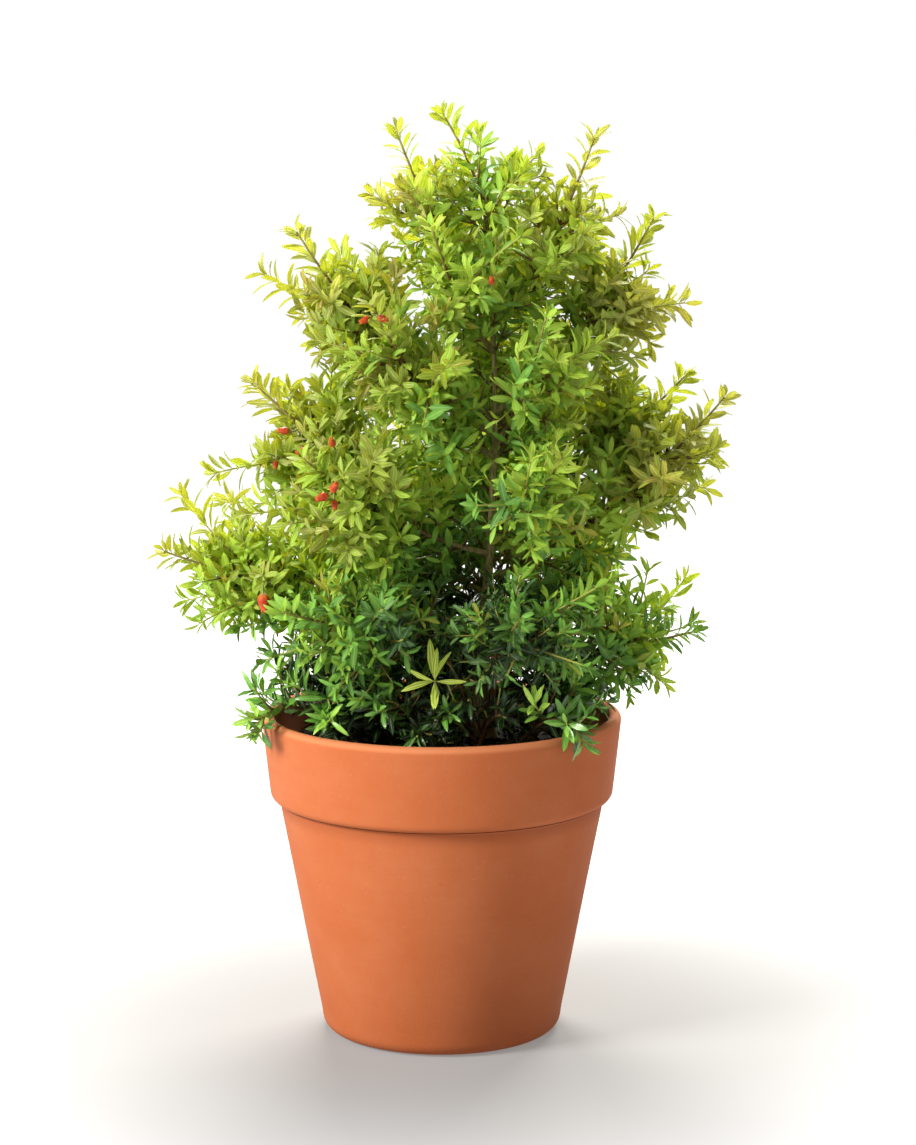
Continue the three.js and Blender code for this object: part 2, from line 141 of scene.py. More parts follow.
# The lights: place, height of the point that the light faces, side, power and colour.
LIGHTS = {
    "key_left": ((-1.9, -1.15, 1.45), 0.3, 0.8, 97.0, (1.0, 0.97, 0.95)),
    "back_top": ((-0.2, 1.5, 1.9), 0.45, 0.8, 92.0, (1.0, 0.98, 0.9)),
    "back_right": ((0.7, 1.6, 1.7), 0.5, 0.8, 65.0, (1.0, 0.98, 0.9)),
    "front_fill": ((0.3, -1.9, 2.4), 0.5, 1.6, 11.0, (1.0, 0.98, 0.95)),
}


def length(name, default, text):
    """A setting that is a length in metres."""
    return bpy.props.FloatProperty(
        name=name, default=default, min=0.0, unit="LENGTH", precision=4, description=text
    )


def colour(name, default, text):
    """A setting that is a colour."""
    return bpy.props.FloatVectorProperty(
        name=name, default=default, min=0.0, max=1.0, size=3, subtype="COLOR", description=text
    )


class PotSettings(bpy.types.PropertyGroup):
    height: length("Height", POT_HIGH.z, "From the floor to the top of the rim")
    rim_radius: length("Rim radius", POT_HIGH.x, "Outside radius of the rim")
    band_height: length("Band height", 0.061, "Height of the thick band below the rim")
    band_foot: length("Band foot radius", 0.1215, "Outside radius at the bottom of the band")
    body_top: length("Body top radius", 0.1145, "Outside radius of the body just under the band")
    base_radius: length("Base radius", 0.085, "Outside radius of the foot")
    wall: length("Wall", 0.009, "Thickness of the wall")
    floor: length("Floor", 0.012, "Thickness of the floor")
    drain: length("Drain radius", 0.011, "Radius of the hole in the floor")
    clay: colour("Clay", (0.455, 0.113, 0.031), "Fired clay")
    dusty: colour("Dusty clay", (0.495, 0.146, 0.053), "Paler clay on worn and dry places")
    burnt: colour("Burnt clay", (0.385, 0.084, 0.021), "Darker clay in damp and hollow places")


class SoilSettings(bpy.types.PropertyGroup):
    crumb: length("Crumb", 0.0035, "Mean size of a crumb of compost")
    crumbs: bpy.props.IntProperty(
        name="Crumbs", default=900, min=0, description="Number of loose crumbs on the soil"
    )
    rough: length("Roughness", 0.0022, "Height of the lumps in the soil's surface")
    dark: colour("Damp compost", (0.006, 0.0045, 0.003), "Damp compost")
    light: colour("Dry compost", (0.030, 0.019, 0.012), "Dry crumbs")


class WoodSettings(bpy.types.PropertyGroup):
    foot_radius: length("Stem foot radius", 0.007, "Radius of the stem at the soil")
    top_radius: length("Stem top radius", 0.0016, "Radius of the stem at its top")
    limb_radius: length("Limb radius", 0.0023, "Radius of a limb where it leaves the stem")
    shoot_radius: length("Shoot radius", 0.0013, "Radius of a side shoot at its foot")
    twig_radius: length("Twig radius", 0.0010, "Radius of a twig at its foot")
    tip_radius: length("Tip radius", 0.0005, "Radius at the end of any shoot")
    old_bark: colour("Old bark", (0.46, 0.41, 0.14), "Bark of the stem")
    young_bark: colour("Young bark", (0.17, 0.075, 0.03), "Reddish bark of the shoots")
    green_bark: colour("Green bark", (0.34, 0.36, 0.05), "Green bark near the tips")


class LeafSettings(bpy.types.PropertyGroup):
    leaf_length: length("Leaf length", 0.0198, "Length of a full-grown leaf")
    leaf_width: length("Leaf width", 0.0060, "Width of a full-grown leaf")
    thickness: length("Leaf thickness", 0.00035, "Thickness of a leaf at its midrib")
    pair_step: length("Pair step", 0.0070, "Distance between pairs of leaves along a twig")
    twig_step: length("Twig step", 0.0120, "Distance between pairs of twigs along a limb")
    twig_length: length("Twig length", 0.056, "Length of the longest twigs")
    # The greens from deep to young are picked by each leaf's brightness, which is mostly painted
    # light and shade: deep is partly old leaves and partly painted shade, shaded is painted shade,
    # and young and fresh are partly new leaves and partly painted light.
    young: colour("Young leaf", (0.55, 0.55, 0.19), "Sunlit leaves at the tips")
    fresh: colour("Fresh leaf", (0.80, 0.98, 0.12), "The rosette's new leaves")
    grown: colour("Grown leaf", (0.59, 0.92, 0.105), "Full-grown leaves")
    shaded: colour("Shaded leaf", (0.17, 0.44, 0.050), "Leaves inside the crown")
    deep: colour("Deep leaf", (0.003, 0.022, 0.006), "Old leaves low in the crown")
    glow: colour("Glow", (0.74, 0.74, 0.14), "Light that comes through a leaf")
    low_glow: colour("Low glow", (0.35, 0.66, 0.08), "Light that comes through a low leaf")


class BudSettings(bpy.types.PropertyGroup):
    stalk: length("Stalk", 0.007, "Length of the stalk that a bud hangs on")
    red: colour("Red", (0.38, 0.028, 0.006), "Ripe red of the bud's fleshy vase")
    orange: colour("Orange", (0.55, 0.10, 0.014), "Orange near the mouth")
    green: colour("Green", (0.20, 0.22, 0.04), "Green at the foot of the bud")


class StageSettings(bpy.types.PropertyGroup):
    camera_distance: length("Camera distance", 2.2, "From the pot's axis to the camera")
    camera_height: length("Camera height", 0.6736, "Height of the camera")
    camera_aside: length("Camera aside", 0.0117, "How far the camera stands to the right")
    camera_tilt: bpy.props.FloatProperty(
        name="Camera tilt", default=math.radians(8.95), subtype="ANGLE",
        description="How far the camera looks down",
    )
    lens: bpy.props.FloatProperty(
        name="Lens", default=99.7, min=1.0, description="Focal length in millimetres"
    )
    paper: colour("Paper", (0.20, 0.20, 0.20), "Pale floor")


GROUPS = {
    "tree_pot": PotSettings,
    "tree_soil": SoilSettings,
    "tree_wood": WoodSettings,
    "tree_leaf": LeafSettings,
    "tree_bud": BudSettings,
    "tree_stage": StageSettings,
}


# ---- numbers ----
def unit(vectors):
    """Each vector divided by its own length."""
    return vectors / np.maximum(np.linalg.norm(vectors, axis=-1, keepdims=True), 1e-12)


def mix(a, b, t):
    """a at t = 0, b at t = 1, and a straight line between."""
    return a + (b - a) * t


def smooth(t):
    """The smooth step 3t^2 - 2t^3 of t held between 0 and 1."""
    t = np.clip(t, 0, 1)
    return t * t * (3 - 2 * t)


def waves(points, pitch, seed, octaves=2):
    """Smooth noise from about -1 to 1: a sum of sines along five random directions, each octave
    half as long and half as strong as the one before."""
    rng = np.random.default_rng(seed)
    total, weight = 0.0, 0.0
    sines, gain = 5, 1.6
    for octave in range(octaves):
        directions = unit(rng.normal(size=(sines, 3))) * (TURN / pitch) * 2**octave
        phases = rng.uniform(0, TURN, sines)
        total = total + np.sin(points @ directions.T + phases).sum(-1) / sines / 2**octave
        weight += 1 / 2**octave
    return total / weight * gain


def bend_line(lines, t):
    """Points and directions at t of quadratic curves: (1-t)^2 start + 2t(1-t) bend + t^2 end."""
    t = t[..., None]
    start, bend, end = (part[:, None, :] for part in lines)
    points = (1 - t) ** 2 * start + 2 * t * (1 - t) * bend + t**2 * end
    return points, unit(2 * (1 - t) * (bend - start) + 2 * t * (end - bend))


def evenly(lines, steps):
    """Even shares from 0 to 1, the same for each line."""
    return np.tile(np.linspace(0, 1, steps), (len(lines[0]), 1))


def cross_axes(directions, chord):
    """Two axes square to each direction. The first is the part, square to the direction, of a
    reference that is square to the curve's chord, so that the axes don't spin along the curve.
    That reference is square to Z too, or to X where the chord is nearly upright."""
    flat = np.abs(unit(chord)[..., 2:3]) < 0.9
    reference = unit(np.where(flat, np.cross(chord, UP), np.cross(chord, [1.0, 0.0, 0.0])))
    reference = reference[:, None, :]
    along = (reference * directions).sum(-1, keepdims=True)
    aside = unit(reference - along * directions)
    return aside, np.cross(directions, aside)


# ---- meshes ----
def side_faces(rows, sides):
    """The four-sided faces between rings of points, and each corner's share along and around."""
    row, side = (part.ravel() for part in np.indices((rows - 1, sides)))
    row = np.stack([row, row, row + 1, row + 1], 1)
    side = np.stack([side, side + 1, side + 1, side], 1)
    return row * sides + side % sides, np.stack([row / (rows - 1), side / sides], -1)


def end_faces(rows, sides):
    """The faces that close the first and last ring, and each corner's share along and around."""
    ring = np.arange(sides)
    places = np.full((2, sides, 2), 0.5)
    places[:, :, 0] = [[0], [1]]
    return np.stack([ring[::-1], (rows - 1) * sides + ring]), places


def close_tubes(groups, tall, border=0.06):
    """Joins groups of closed tubes, each group count x rows x sides points. Gives the points, the
    polygons, each corner's place on its tube, and its place on a sheet where every tube has its
    own cell, tall times as long as it is wide, with an empty border."""
    total = sum(len(group) for group in groups)
    across = math.ceil(math.sqrt(total * tall))
    sheet = np.array([across, math.ceil(total / across)])
    polygons, on_tube, on_sheet = [], [], []
    first_point = first_tube = 0
    for group in groups:
        count, rows, sides, _ = group.shape
        tube = np.arange(count)[:, None, None]
        index = first_tube + tube
        cell = np.stack([index % across, index // across], -1)
        for faces, places in (side_faces(rows, sides), end_faces(rows, sides)):
            polygons.append((faces + first_point + tube * rows * sides).reshape(-1, faces.shape[1]))
            on_tube.append(np.tile(places.reshape(-1, 2), (count, 1)))
            inside = border / 2 + (1 - border) * places[..., ::-1]
            on_sheet.append(((cell + inside) / sheet).reshape(-1, 2))
        first_point += count * rows * sides
        first_tube += count
    points = np.concatenate([group.reshape(-1, 3) for group in groups])
    return points, polygons, np.concatenate(on_tube), np.concatenate(on_sheet)


def build_mesh(name, points, polygons, maps, numbers):
    """One mesh from points, a list of arrays of polygons, UV maps given per polygon corner and
    numbers given per point."""
    mesh = bpy.data.meshes.new(name)
    corners = np.concatenate([p.ravel() for p in polygons]).astype(np.int32)
    sizes = np.concatenate([np.full(len(p), p.shape[1]) for p in polygons])
    starts = np.concatenate([[0], np.cumsum(sizes)[:-1]]).astype(np.int32)
    mesh.vertices.add(len(points))
    mesh.vertices.foreach_set("co", points.astype(np.float32).ravel())
    mesh.loops.add(len(corners))
    mesh.loops.foreach_set("vertex_index", corners)
    mesh.polygons.add(len(starts))
    mesh.polygons.foreach_set("loop_start", starts)
    mesh.update(calc_edges=True)
    for key, places in maps.items():
        layer = mesh.uv_layers.new(name=key)
        layer.data.foreach_set("uv", places.astype(np.float32).ravel())
    for key, values in numbers.items():
        attribute = mesh.attributes.new(key, "FLOAT", "POINT")
        attribute.data.foreach_set("value", values.astype(np.float32).ravel())
    mesh.shade_smooth()
    return mesh


def add_object(name, data):
    """An object in the scene, at the origin."""
    added = bpy.data.objects.new(name, data)
    bpy.context.scene.collection.objects.link(added)
    return added


def place(name, mesh, material, node):
    """Adds a finished piece that stands for one of the frame's nodes."""
    piece = add_object(name, mesh)
    mesh.materials.append(material)
    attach(piece, BODY)
    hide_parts(node)
    return piece


def tube_piece(name, groups, tall, material, slot, node, own_map=None, **numbers):
    """One piece of closed tubes, with a map of places on its tubes if that map has a name."""
    points, polygons, on_tube, on_sheet = close_tubes(groups, tall)
    maps = {own_map: on_tube} if own_map else {}
    mesh = build_mesh(f"{name}_skin", points, polygons, {**maps, "OFBake": on_sheet}, numbers)
    return place(name, mesh, material, node)


def tubes(points, directions, chords, radii, sides):
    """Round tubes: at each point of each line a circle of that radius, square to the line."""
    aside, over = cross_axes(directions, chords)
    angles = TURN * np.arange(sides) / sides
    circle = (
        np.cos(angles)[:, None] * aside[:, :, None, :]
        + np.sin(angles)[:, None] * over[:, :, None, :]
    )
    return points[:, :, None, :] + radii[:, :, None, None] * circle


LEAF_ROWS = np.array([0.0, 0.09, 0.32, 0.60, 0.88, 1.0])


def leaf_outline(along, petiole=0.07, least=0.09):
    """Half width of a leaf: a narrow stalk, then the power 0.62 of a sine arch, which makes it
    full, over the power 1.3 of the share along the blade, which puts its widest part past the
    middle."""
    blade = np.clip((along - petiole) / (1 - petiole), 0, 1)
    return np.maximum(np.sin(math.pi * blade**1.3) ** 0.62, least)


def blades(leaves, thickness):
    """Leaves as closed thin shapes of four sides. Along a leaf the middle runs straight out from
    its base and bends towards its back by curl times the share along squared. Across, the two
    edges stand up from the midrib by fold times the half width, and the midrib is thick."""
    along = LEAF_ROWS[None, :, None]
    base, direction, normal = (leaves[key][:, None] for key in ("base", "direction", "normal"))
    size, width, curl, fold = (
        leaves[key][:, None, None] for key in ("length", "width", "curl", "fold")
    )
    middle = base + direction * size * along - normal * size * curl * along**2
    half = leaf_outline(LEAF_ROWS)[None, :, None] * width / 2
    edge, lift = np.cross(direction, normal) * half, normal * half * fold
    bulge = normal * thickness / 2
    return np.stack([middle - edge + lift, middle - bulge, middle + edge + lift, middle + bulge], 2)


# ---- shader maths: a Python expression on values adds its Math nodes ----
class Value:
    """A socket that holds a number, with arithmetic that adds Math nodes."""

    def __init__(self, paint, socket):
        self.paint, self.socket = paint, socket

    def _math(self, operation, *others):
        """A Math node on this value and the others."""
        sockets = dict(enumerate((self, *others)))
        return self.paint.node("ShaderNodeMath", {"operation": operation}, sockets)

    def __add__(self, other):
        return self._math("ADD", other)

    def __mul__(self, other):
        return self._math("MULTIPLY", other)

    def __sub__(self, other):
        return self._math("SUBTRACT", other)

    def __rsub__(self, other):
        return self * -1 + other

    def __abs__(self):
        return self._math("ABSOLUTE")

    __radd__, __rmul__ = __add__, __mul__

    def wave(self):
        """The sine."""
        return self._math("SINE")

    def part(self):
        """What is left after the whole number."""
        return self._math("FRACT")

    def held(self):
        """Held between 0 and 1."""
        sockets = {"Value": self, "Min": 0.0, "Max": 1.0}
        return self.paint.node("ShaderNodeClamp", {}, sockets, "Result")

    def between(self, low, high):
        """0 below low, 1 above high, and smooth between them."""
        settings = {"interpolation_type": "SMOOTHSTEP", "clamp": True}
        sockets = {"Value": self, "From Min": low, "From Max": high}
        return self.paint.node("ShaderNodeMapRange", settings, sockets, "Result")


class Paint:
    """The nodes of a material or a world, and the one method that adds them."""

    def __init__(self, owner):
        owner.use_nodes = True
        self.owner, self.tree = owner, owner.node_tree
        self.tree.nodes.clear()

    def node(self, kind, settings, sockets, output=0):
        """Adds a node of a type with its settings, sets or links its sockets, and gives one of
        its outputs, or the node itself if no output is asked for."""
        node = self.tree.nodes.new(kind)
        for key, value in settings.items():
            if key == "stops":
                self._stops(node.color_ramp, value)
            else:
                setattr(node, key, value)
        for key, value in sockets.items():
            self._fill(node.inputs[key], value)
        if output is None:
            return node
        socket = node.outputs[output]
        return Value(self, socket) if socket.type == "VALUE" else socket

    def _fill(self, socket, value):
        """Links a value's socket, or sets a plain number or colour."""
        if isinstance(value, Value):
            value = value.socket
        if isinstance(value, bpy.types.NodeSocket):
            self.tree.links.new(value, socket)
        else:
            socket.default_value = (*value[:3], 1.0) if socket.type == "RGBA" else value

    @staticmethod
    def _stops(ramp, stops):
        """Gives a ramp its places and colours."""
        while len(ramp.elements) < len(stops):
            ramp.elements.new(0.5)
        for element, (position, shade) in zip(ramp.elements, stops):
            element.position, element.color = position, (*shade, 1)

    def number(self, name):
        """A number that the mesh holds at each point."""
        return self.node("ShaderNodeAttribute", {"attribute_name": name}, {}, "Fac")

    def where(self):
        """The place on the object."""
        return self.node("ShaderNodeTexCoord", {}, {}, "Object")

    def stretched(self, scale):
        """The place, stretched by a scale on each axis."""
        return self.node("ShaderNodeMapping", {}, {"Vector": self.where(), "Scale": scale})

    def noise(self, scale, detail=3.0, rough=0.55, at=None):
        """Smooth noise about 0.5."""
        sockets = {"Vector": at or self.where(), "Scale": scale, "Detail": detail}
        return self.node("ShaderNodeTexNoise", {}, {**sockets, "Roughness": rough}, "Fac")

    def ramp(self, level, *stops):
        """The colour at a level between the colours of the stops."""
        return self.node("ShaderNodeValToRGB", {"stops": stops}, {"Fac": level}, "Color")

    def blend(self, mask, a, b):
        """Colour a where the mask is 0 and colour b where it is 1."""
        return self.node("ShaderNodeMix", {"data_type": "RGBA"}, {0: mask, 6: a, 7: b}, 2)

    def skin(self, shade, rough, relief, shine, depth, strength):
        """A surface of a colour, a roughness and a shine, with a relief of a depth."""
        heights = {"Height": relief, "Distance": depth, "Strength": strength}
        sockets = {"Base Color": shade, "Roughness": rough, "Specular IOR Level": shine}
        sockets["Normal"] = self.node("ShaderNodeBump", {}, heights)
        return self.node("ShaderNodeBsdfPrincipled", {}, sockets)

    def finish(self, shader, output="ShaderNodeOutputMaterial"):
        """Ends the nodes with a shader, and gives the material or world."""
        self.node(output, {}, {"Surface": shader}, None)
        return self.owner


# ---- finishes: each paints its material from a group of settings ----
def finish_once(make, name, group, **settings):
    """The named material, made the first time it is asked for."""
    known = bpy.data.materials
    return known.get(name) or make(Paint(known.new(name)), group, **settings)


def clay_finish(paint, pot):
    """Unglazed fired clay: cloudy, finely speckled, with faint rings from the potter's wheel, paler
    where it is dry, with a painted highlight on its lip and a painted shadow just under the band."""
    clouds = paint.noise(14.0, 4.0, 0.6)
    patches = paint.noise(5.0, 2.0, 0.5)
    grain = paint.noise(900.0, 2.0, 0.7)
    specks = paint.noise(420.0, 1.0, 0.5).between(0.68, 0.76)
    rings = paint.noise(1.0, 3.0, 0.6, paint.stretched((2.0, 2.0, 260.0)))
    shade = paint.blend(clouds.between(0.25, 0.8), pot.clay, pot.dusty)
    shade = paint.blend(patches.between(0.45, 0.8) * 0.4, shade, pot.burnt)
    shade = paint.blend(rings.between(0.4, 0.7) * 0.06, shade, pot.burnt)
    shade = paint.blend(specks * 0.35, shade, pot.burnt)
    shade = paint.blend(grain.between(0.6, 0.8) * 0.18, shade, (0.95, 0.55, 0.34))
    band_foot = pot.height - pot.band_height
    height = paint.node("ShaderNodeSeparateXYZ", {}, {0: paint.where()}, "Z")
    # A painted shadow: a dark strip of clay just under the band, where the band's overhang throws
    # its shade.
    painted_band_shadow = height.between(band_foot - 0.014, band_foot - 0.001)
    painted_band_shadow = painted_band_shadow * (1 - height.between(band_foot, band_foot + 0.003))
    shade = paint.blend(painted_band_shadow * (clouds * 0.4 + 0.2), shade, (0.22, 0.045, 0.012))
    # A painted highlight: a paler line along the top of the lip.
    painted_lip_highlight = height.between(pot.height - 0.005, pot.height - 0.002)
    shade = paint.blend(painted_lip_highlight * 0.45, shade, (0.72, 0.28, 0.12))
    relief = grain * 0.35 + clouds * 0.25 + rings * 0.3
    skin = paint.skin(shade, grain * 0.12 + 0.72, relief, shine=0.25, depth=0.00035, strength=0.55)
    return paint.finish(skin)


def soil_finish(paint, soil):
    """Dark compost: black where it is damp, brown on the dry crumbs, with pale fibres."""
    lumps = paint.noise(260.0, 4.0, 0.7)
    damp = paint.noise(30.0, 3.0, 0.5)
    fibre = paint.noise(800.0, 2.0, 0.6)
    shade = paint.blend(lumps.between(0.45, 0.7), soil.dark, soil.light)
    shade = paint.blend(damp.between(0.4, 0.6) * 0.5, shade, soil.dark)
    shade = paint.blend(fibre.between(0.7, 0.78) * 0.4, shade, (0.10, 0.065, 0.04))
    rough, relief = damp * 0.1 + 0.88, lumps + fibre * 0.4
    return paint.finish(paint.skin(shade, rough, relief, shine=0.08, depth=0.0012, strength=0.9))


def bark_finish(paint, wood):
    """Wood: rough olive bark where the number green is 0, smooth reddish shoots half way, and
    green shoots at 1."""
    green = paint.number("green")
    ridges = paint.noise(1.0, 4.0, 0.65, paint.stretched((700.0, 700.0, 120.0)))
    blotch = paint.noise(120.0, 3.0, 0.6)
    old = paint.blend(ridges.between(0.35, 0.65), wood.old_bark, (0.22, 0.17, 0.07))
    old = paint.blend(blotch.between(0.55, 0.7) * 0.4, old, (0.44, 0.38, 0.22))
    young = paint.blend(blotch.between(0.4, 0.7), wood.young_bark, (0.18, 0.09, 0.03))
    fresh = paint.blend(green.between(0.62, 1.0), young, wood.green_bark)
    shade = paint.blend(green.between(0.1, 0.5), old, fresh)
    rough, relief = 0.85 - green * 0.35, ridges + blotch * 0.3
    return paint.finish(paint.skin(shade, rough, relief, shine=0.5, depth=0.0006, strength=0.8))


def leaf_finish(paint, leaf, young_and_sunlit, glow, gloss, shine, through):
    """A leaf: its brightness, mostly painted light and shade, and its tint pick a green from deep
    to young, the lowest tints turn it deeper and the highest russet, its midrib is a pale line that
    is partly a painted highlight, stronger on the brighter leaves, its side veins are faint and
    slanted, its edge is darker, and light comes through the bright ones."""
    bright = paint.number("bright")
    tint = paint.number("tint")
    on_leaf = paint.node("ShaderNodeUVMap", {"uv_map": "leaf"}, {})
    split = paint.node("ShaderNodeSeparateXYZ", {}, {0: on_leaf}, None)
    along, around = Value(paint, split.outputs[0]), Value(paint, split.outputs[1])
    # Around a leaf, 0 and 0.5 are its edges and 0.25 and 0.75 the midrib on its two faces, so
    # across is 0 on the midrib and 1 on the edges.
    across = abs((around * 2).part() * 2 - 1)
    midrib = 1 - across.between(0.03, 0.2)
    edge = across.between(0.78, 1.0)
    band = across.between(0.1, 0.38) * (1 - across.between(0.5, 0.78))
    veins = (along * 46 + across * 7).wave().between(0.35, 1.0) * (1 - edge) * 0.5
    cloud = paint.noise(150.0, 3.0, 0.6)
    mottle = paint.noise(900.0, 2.0, 0.6)
    # The level is painted light and shade from the brightness number, with random cloud and tint on
    # top.
    level = (bright + (cloud - 0.5) * 0.24 + (tint - 0.5) * 0.48).held()
    greens = (0.0, leaf.deep), (0.30, leaf.shaded), (0.62, leaf.grown), (1.0, young_and_sunlit)
    shade = paint.ramp(level, *greens)
    shade = paint.blend(tint.between(0.84, 0.97) * 0.6, shade, (0.52, 0.27, 0.03))
    shade = paint.blend((1 - tint.between(0.05, 0.3)) * 0.35, shade, (0.06, 0.19, 0.05))
    dark = paint.blend(0.62, shade, (0.05, 0.10, 0.0))
    # Pale is partly the midrib's own paleness and partly a painted highlight, stronger on brighter
    # leaves.
    pale = paint.blend(level.between(0.2, 0.9) * 0.55 + 0.25, shade, (0.95, 0.95, 0.50))
    shade = paint.blend(band * level.between(0.3, 0.8) * 0.8, shade, dark)
    shade = paint.blend(midrib * 0.75, shade, pale)
    shade = paint.blend(veins * 0.12, shade, pale)
    shade = paint.blend(edge * 0.4, shade, dark)
    shade = paint.blend(mottle.between(0.55, 0.75) * 0.07, shade, (0.02, 0.05, 0.01))
    relief = midrib * -1.0 + veins * -0.6 + mottle * 0.3
    rough = mottle * 0.14 + gloss
    skin = paint.skin(shade, rough, relief, shine=shine, depth=0.0003, strength=0.35)
    glowing = paint.node("ShaderNodeBsdfTranslucent", {}, {"Color": glow})
    share = level.between(0.0, 0.7) * through + 0.08
    return paint.finish(paint.node("ShaderNodeMixShader", {}, {0: share, 1: skin, 2: glowing}))


def bud_finish(paint, bud):
    """Waxy flower bud: green at its foot, red on its vase and orange at its mouth."""
    up = paint.number("up_bud")
    cloud = paint.noise(350.0, 2.0, 0.6)
    level = (up + (cloud - 0.5) * 0.2).held()
    colours = (0.12, bud.green), (0.32, bud.orange), (0.55, bud.red), (1.0, bud.orange)
    shade = paint.ramp(level, *colours)
    shade = paint.blend(cloud.between(0.6, 0.75) * 0.35, shade, (0.25, 0.02, 0.01))
    rough = cloud * 0.2 + 0.36
    return paint.finish(paint.skin(shade, rough, cloud, shine=0.3, depth=0.0003, strength=0.5))


def paper_finish(paint, stage):
    """Plain pale floor with a painted glow that is white away from the pot and dim near it, so that
    near the pot the floor is painted darker round its soft shadow.
    """
    shade = paint.blend(paint.noise(3.0, 2.0, 0.5) * 0.06, stage.paper, (0.18, 0.18, 0.18))
    away = paint.node("ShaderNodeVectorMath", {"operation": "LENGTH"}, {0: paint.where()}, "Value")
    # Painted light and shade: the glow is dim near the pot and white from 0.6 m out.
    glow = paint.blend(away.between(0.10, 0.60), (0.25, 0.24, 0.23), (0.99, 0.99, 0.99))
    sockets = {"Base Color": shade, "Roughness": 0.95, "Specular IOR Level": 0.1}
    sockets.update({"Emission Color": glow, "Emission Strength": 1.0})
    return paint.finish(paint.node("ShaderNodeBsdfPrincipled", {}, sockets))


# ---- pot and soil ----
def arc(centre, radius, start, end, steps):
    """Points of a circle's arc between two angles in degrees: the centre plus the radius times
    each angle's cosine and sine."""
    angles = np.radians(np.linspace(start, end, steps))
    return np.array(centre) + radius * np.stack([np.cos(angles), np.sin(angles)], 1)


def line(start, end, steps):
    """Points of a straight line, its end left out."""
    t = np.linspace(0, 1, steps, endpoint=False)[:, None]
    return mix(np.array(start), np.array(end), t)


def inner_radius(pot, z):
    """The radius of the hollow: a straight taper from the floor to the mouth."""
    t = (z - pot.floor) / (pot.height - pot.floor)
    return mix(pot.base_radius - pot.wall + 0.001, pot.rim_radius - pot.wall, t)


def pot_profile(pot):
    """The pot's section, radius and height: underside, round foot, tapered body, a small hollow
    corner under the band, round band foot, band that leans out a little, round lip, inside wall,
    round inside corner, floor and drain hole."""
    foot, corner, nook, cove, lip = 0.010, 0.0065, 0.003, 0.004, pot.wall / 2
    band_foot, lip_foot = pot.height - pot.band_height, pot.height - lip
    body = (pot.body_top, band_foot - nook)
    floor = (inner_radius(pot, pot.floor + cove) - 0.0005, pot.floor + cove)
    parts = [
        line((pot.drain + 0.001, 0.0), (pot.base_radius - foot, 0.0), 8),
        arc((pot.base_radius - foot, foot), foot, -90, -6, 8),
        line((pot.base_radius - 0.0001, foot + 0.0004), body, 34)[1:],
        arc((body[0] + nook, body[1]), nook, 180, 96, 5),
        line((body[0] + nook + 0.0006, band_foot), (pot.band_foot - corner, band_foot), 3)[1:],
        arc((pot.band_foot - corner, band_foot + corner), corner, -90, 4, 9),
        line((pot.band_foot, band_foot + corner), (pot.rim_radius, lip_foot), 18)[1:],
        arc((pot.rim_radius - lip, lip_foot), lip, 0, 180, 13),
        line((pot.rim_radius - pot.wall, lip_foot), floor, 26)[1:],
        arc((floor[0] - cove, floor[1]), cove, 0, -90, 4)[:-1],
        line((floor[0] - cove, pot.floor), (pot.drain, pot.floor), 8),
        line((pot.drain, pot.floor), (pot.drain, 0.001), 3),
    ]
    return np.concatenate(parts)


def turned(profile, sides):
    """Turns a section about the Z axis: radius times the cosine and sine of each angle."""
    angles = TURN * np.arange(sides) / sides
    ring = np.stack([np.cos(angles), np.sin(angles), np.zeros(sides)], -1)
    return profile[:, None, :1] * ring + profile[:, None, 1:] * UP


class POT_OT_clay_pot(bpy.types.Operator):
    """Makes the clay pot"""

    bl_idname = "potted_tree.clay_pot"
    bl_label = "Clay pot"

    def execute(self, context):
        pot, sides = context.scene.tree_pot, 240
        profile = pot_profile(pot)
        points = turned(profile, sides).reshape(-1, 3)
        # A thrown pot is never quite round: the wall strays by a fifth of a millimetre, and
        # faint finger rings, 7 mm apart, run round it.
        stray = waves(points, 0.16, 3) * 0.00022 + np.sin(points[:, 2] * 900) * 0.00003
        stray = stray * smooth(points[:, 2] / 0.012)
        points = points + unit(points * [1, 1, 0]) * stray[:, None]
        faces, places = side_faces(len(profile) + 1, sides)
        maps = {"OFBake": places[..., ::-1]}
        mesh = build_mesh("clay_pot_skin", points, [faces % len(points)], maps, {})
        clay = finish_once(clay_finish, "fired_clay", pot)
        place("clay_pot_fired", mesh, clay, "clay_pot")
        return {"FINISHED"}


def soil_height(points, soil, reach=0.115, fall=0.0048, sunk=0.0002):
    """The soil's top: a low mound that falls by a smooth step of the distance from the axis, with
    lumps of several sizes."""
    away = np.linalg.norm(points[..., :2], axis=-1) / reach
    mound = SOIL_TOP - fall * smooth(away) - sunk
    return mound + waves(points, 0.035, 11) * soil.rough + waves(points, 0.008, 12, 3) * 0.0007


def crumb_shapes(soil, reach):
    """Crumbs: small balls of six rings, squashed and lumpy, half sunk in the soil."""
    rng = np.random.default_rng(21)
    count, rows, sides = soil.crumbs, 6, 7
    away = np.sqrt(rng.uniform(0.002, 0.94, count)) * reach
    turn = rng.uniform(0, TURN, count)
    centre = np.stack([away * np.cos(turn), away * np.sin(turn), np.zeros(count)], 1)
    size = soil.crumb * rng.uniform(0.25, 1.0, count) ** 1.6
    centre[:, 2] = soil_height(centre, soil) + size * 0.1
    hole = 0.06
    tilt = np.linspace(hole, math.pi - hole, rows)
    ball = turned(np.stack([np.sin(tilt), -np.cos(tilt)], 1), sides)
    lumps = rng.uniform(0.7, 1.15, (count, rows, sides, 1))
    stretch = rng.uniform([0.7, 0.7, 0.45], [1.3, 1.3, 0.8], (count, 3))[:, None, None, :]
    return ball * lumps * stretch * size[:, None, None, None] + centre[:, None, None, :]


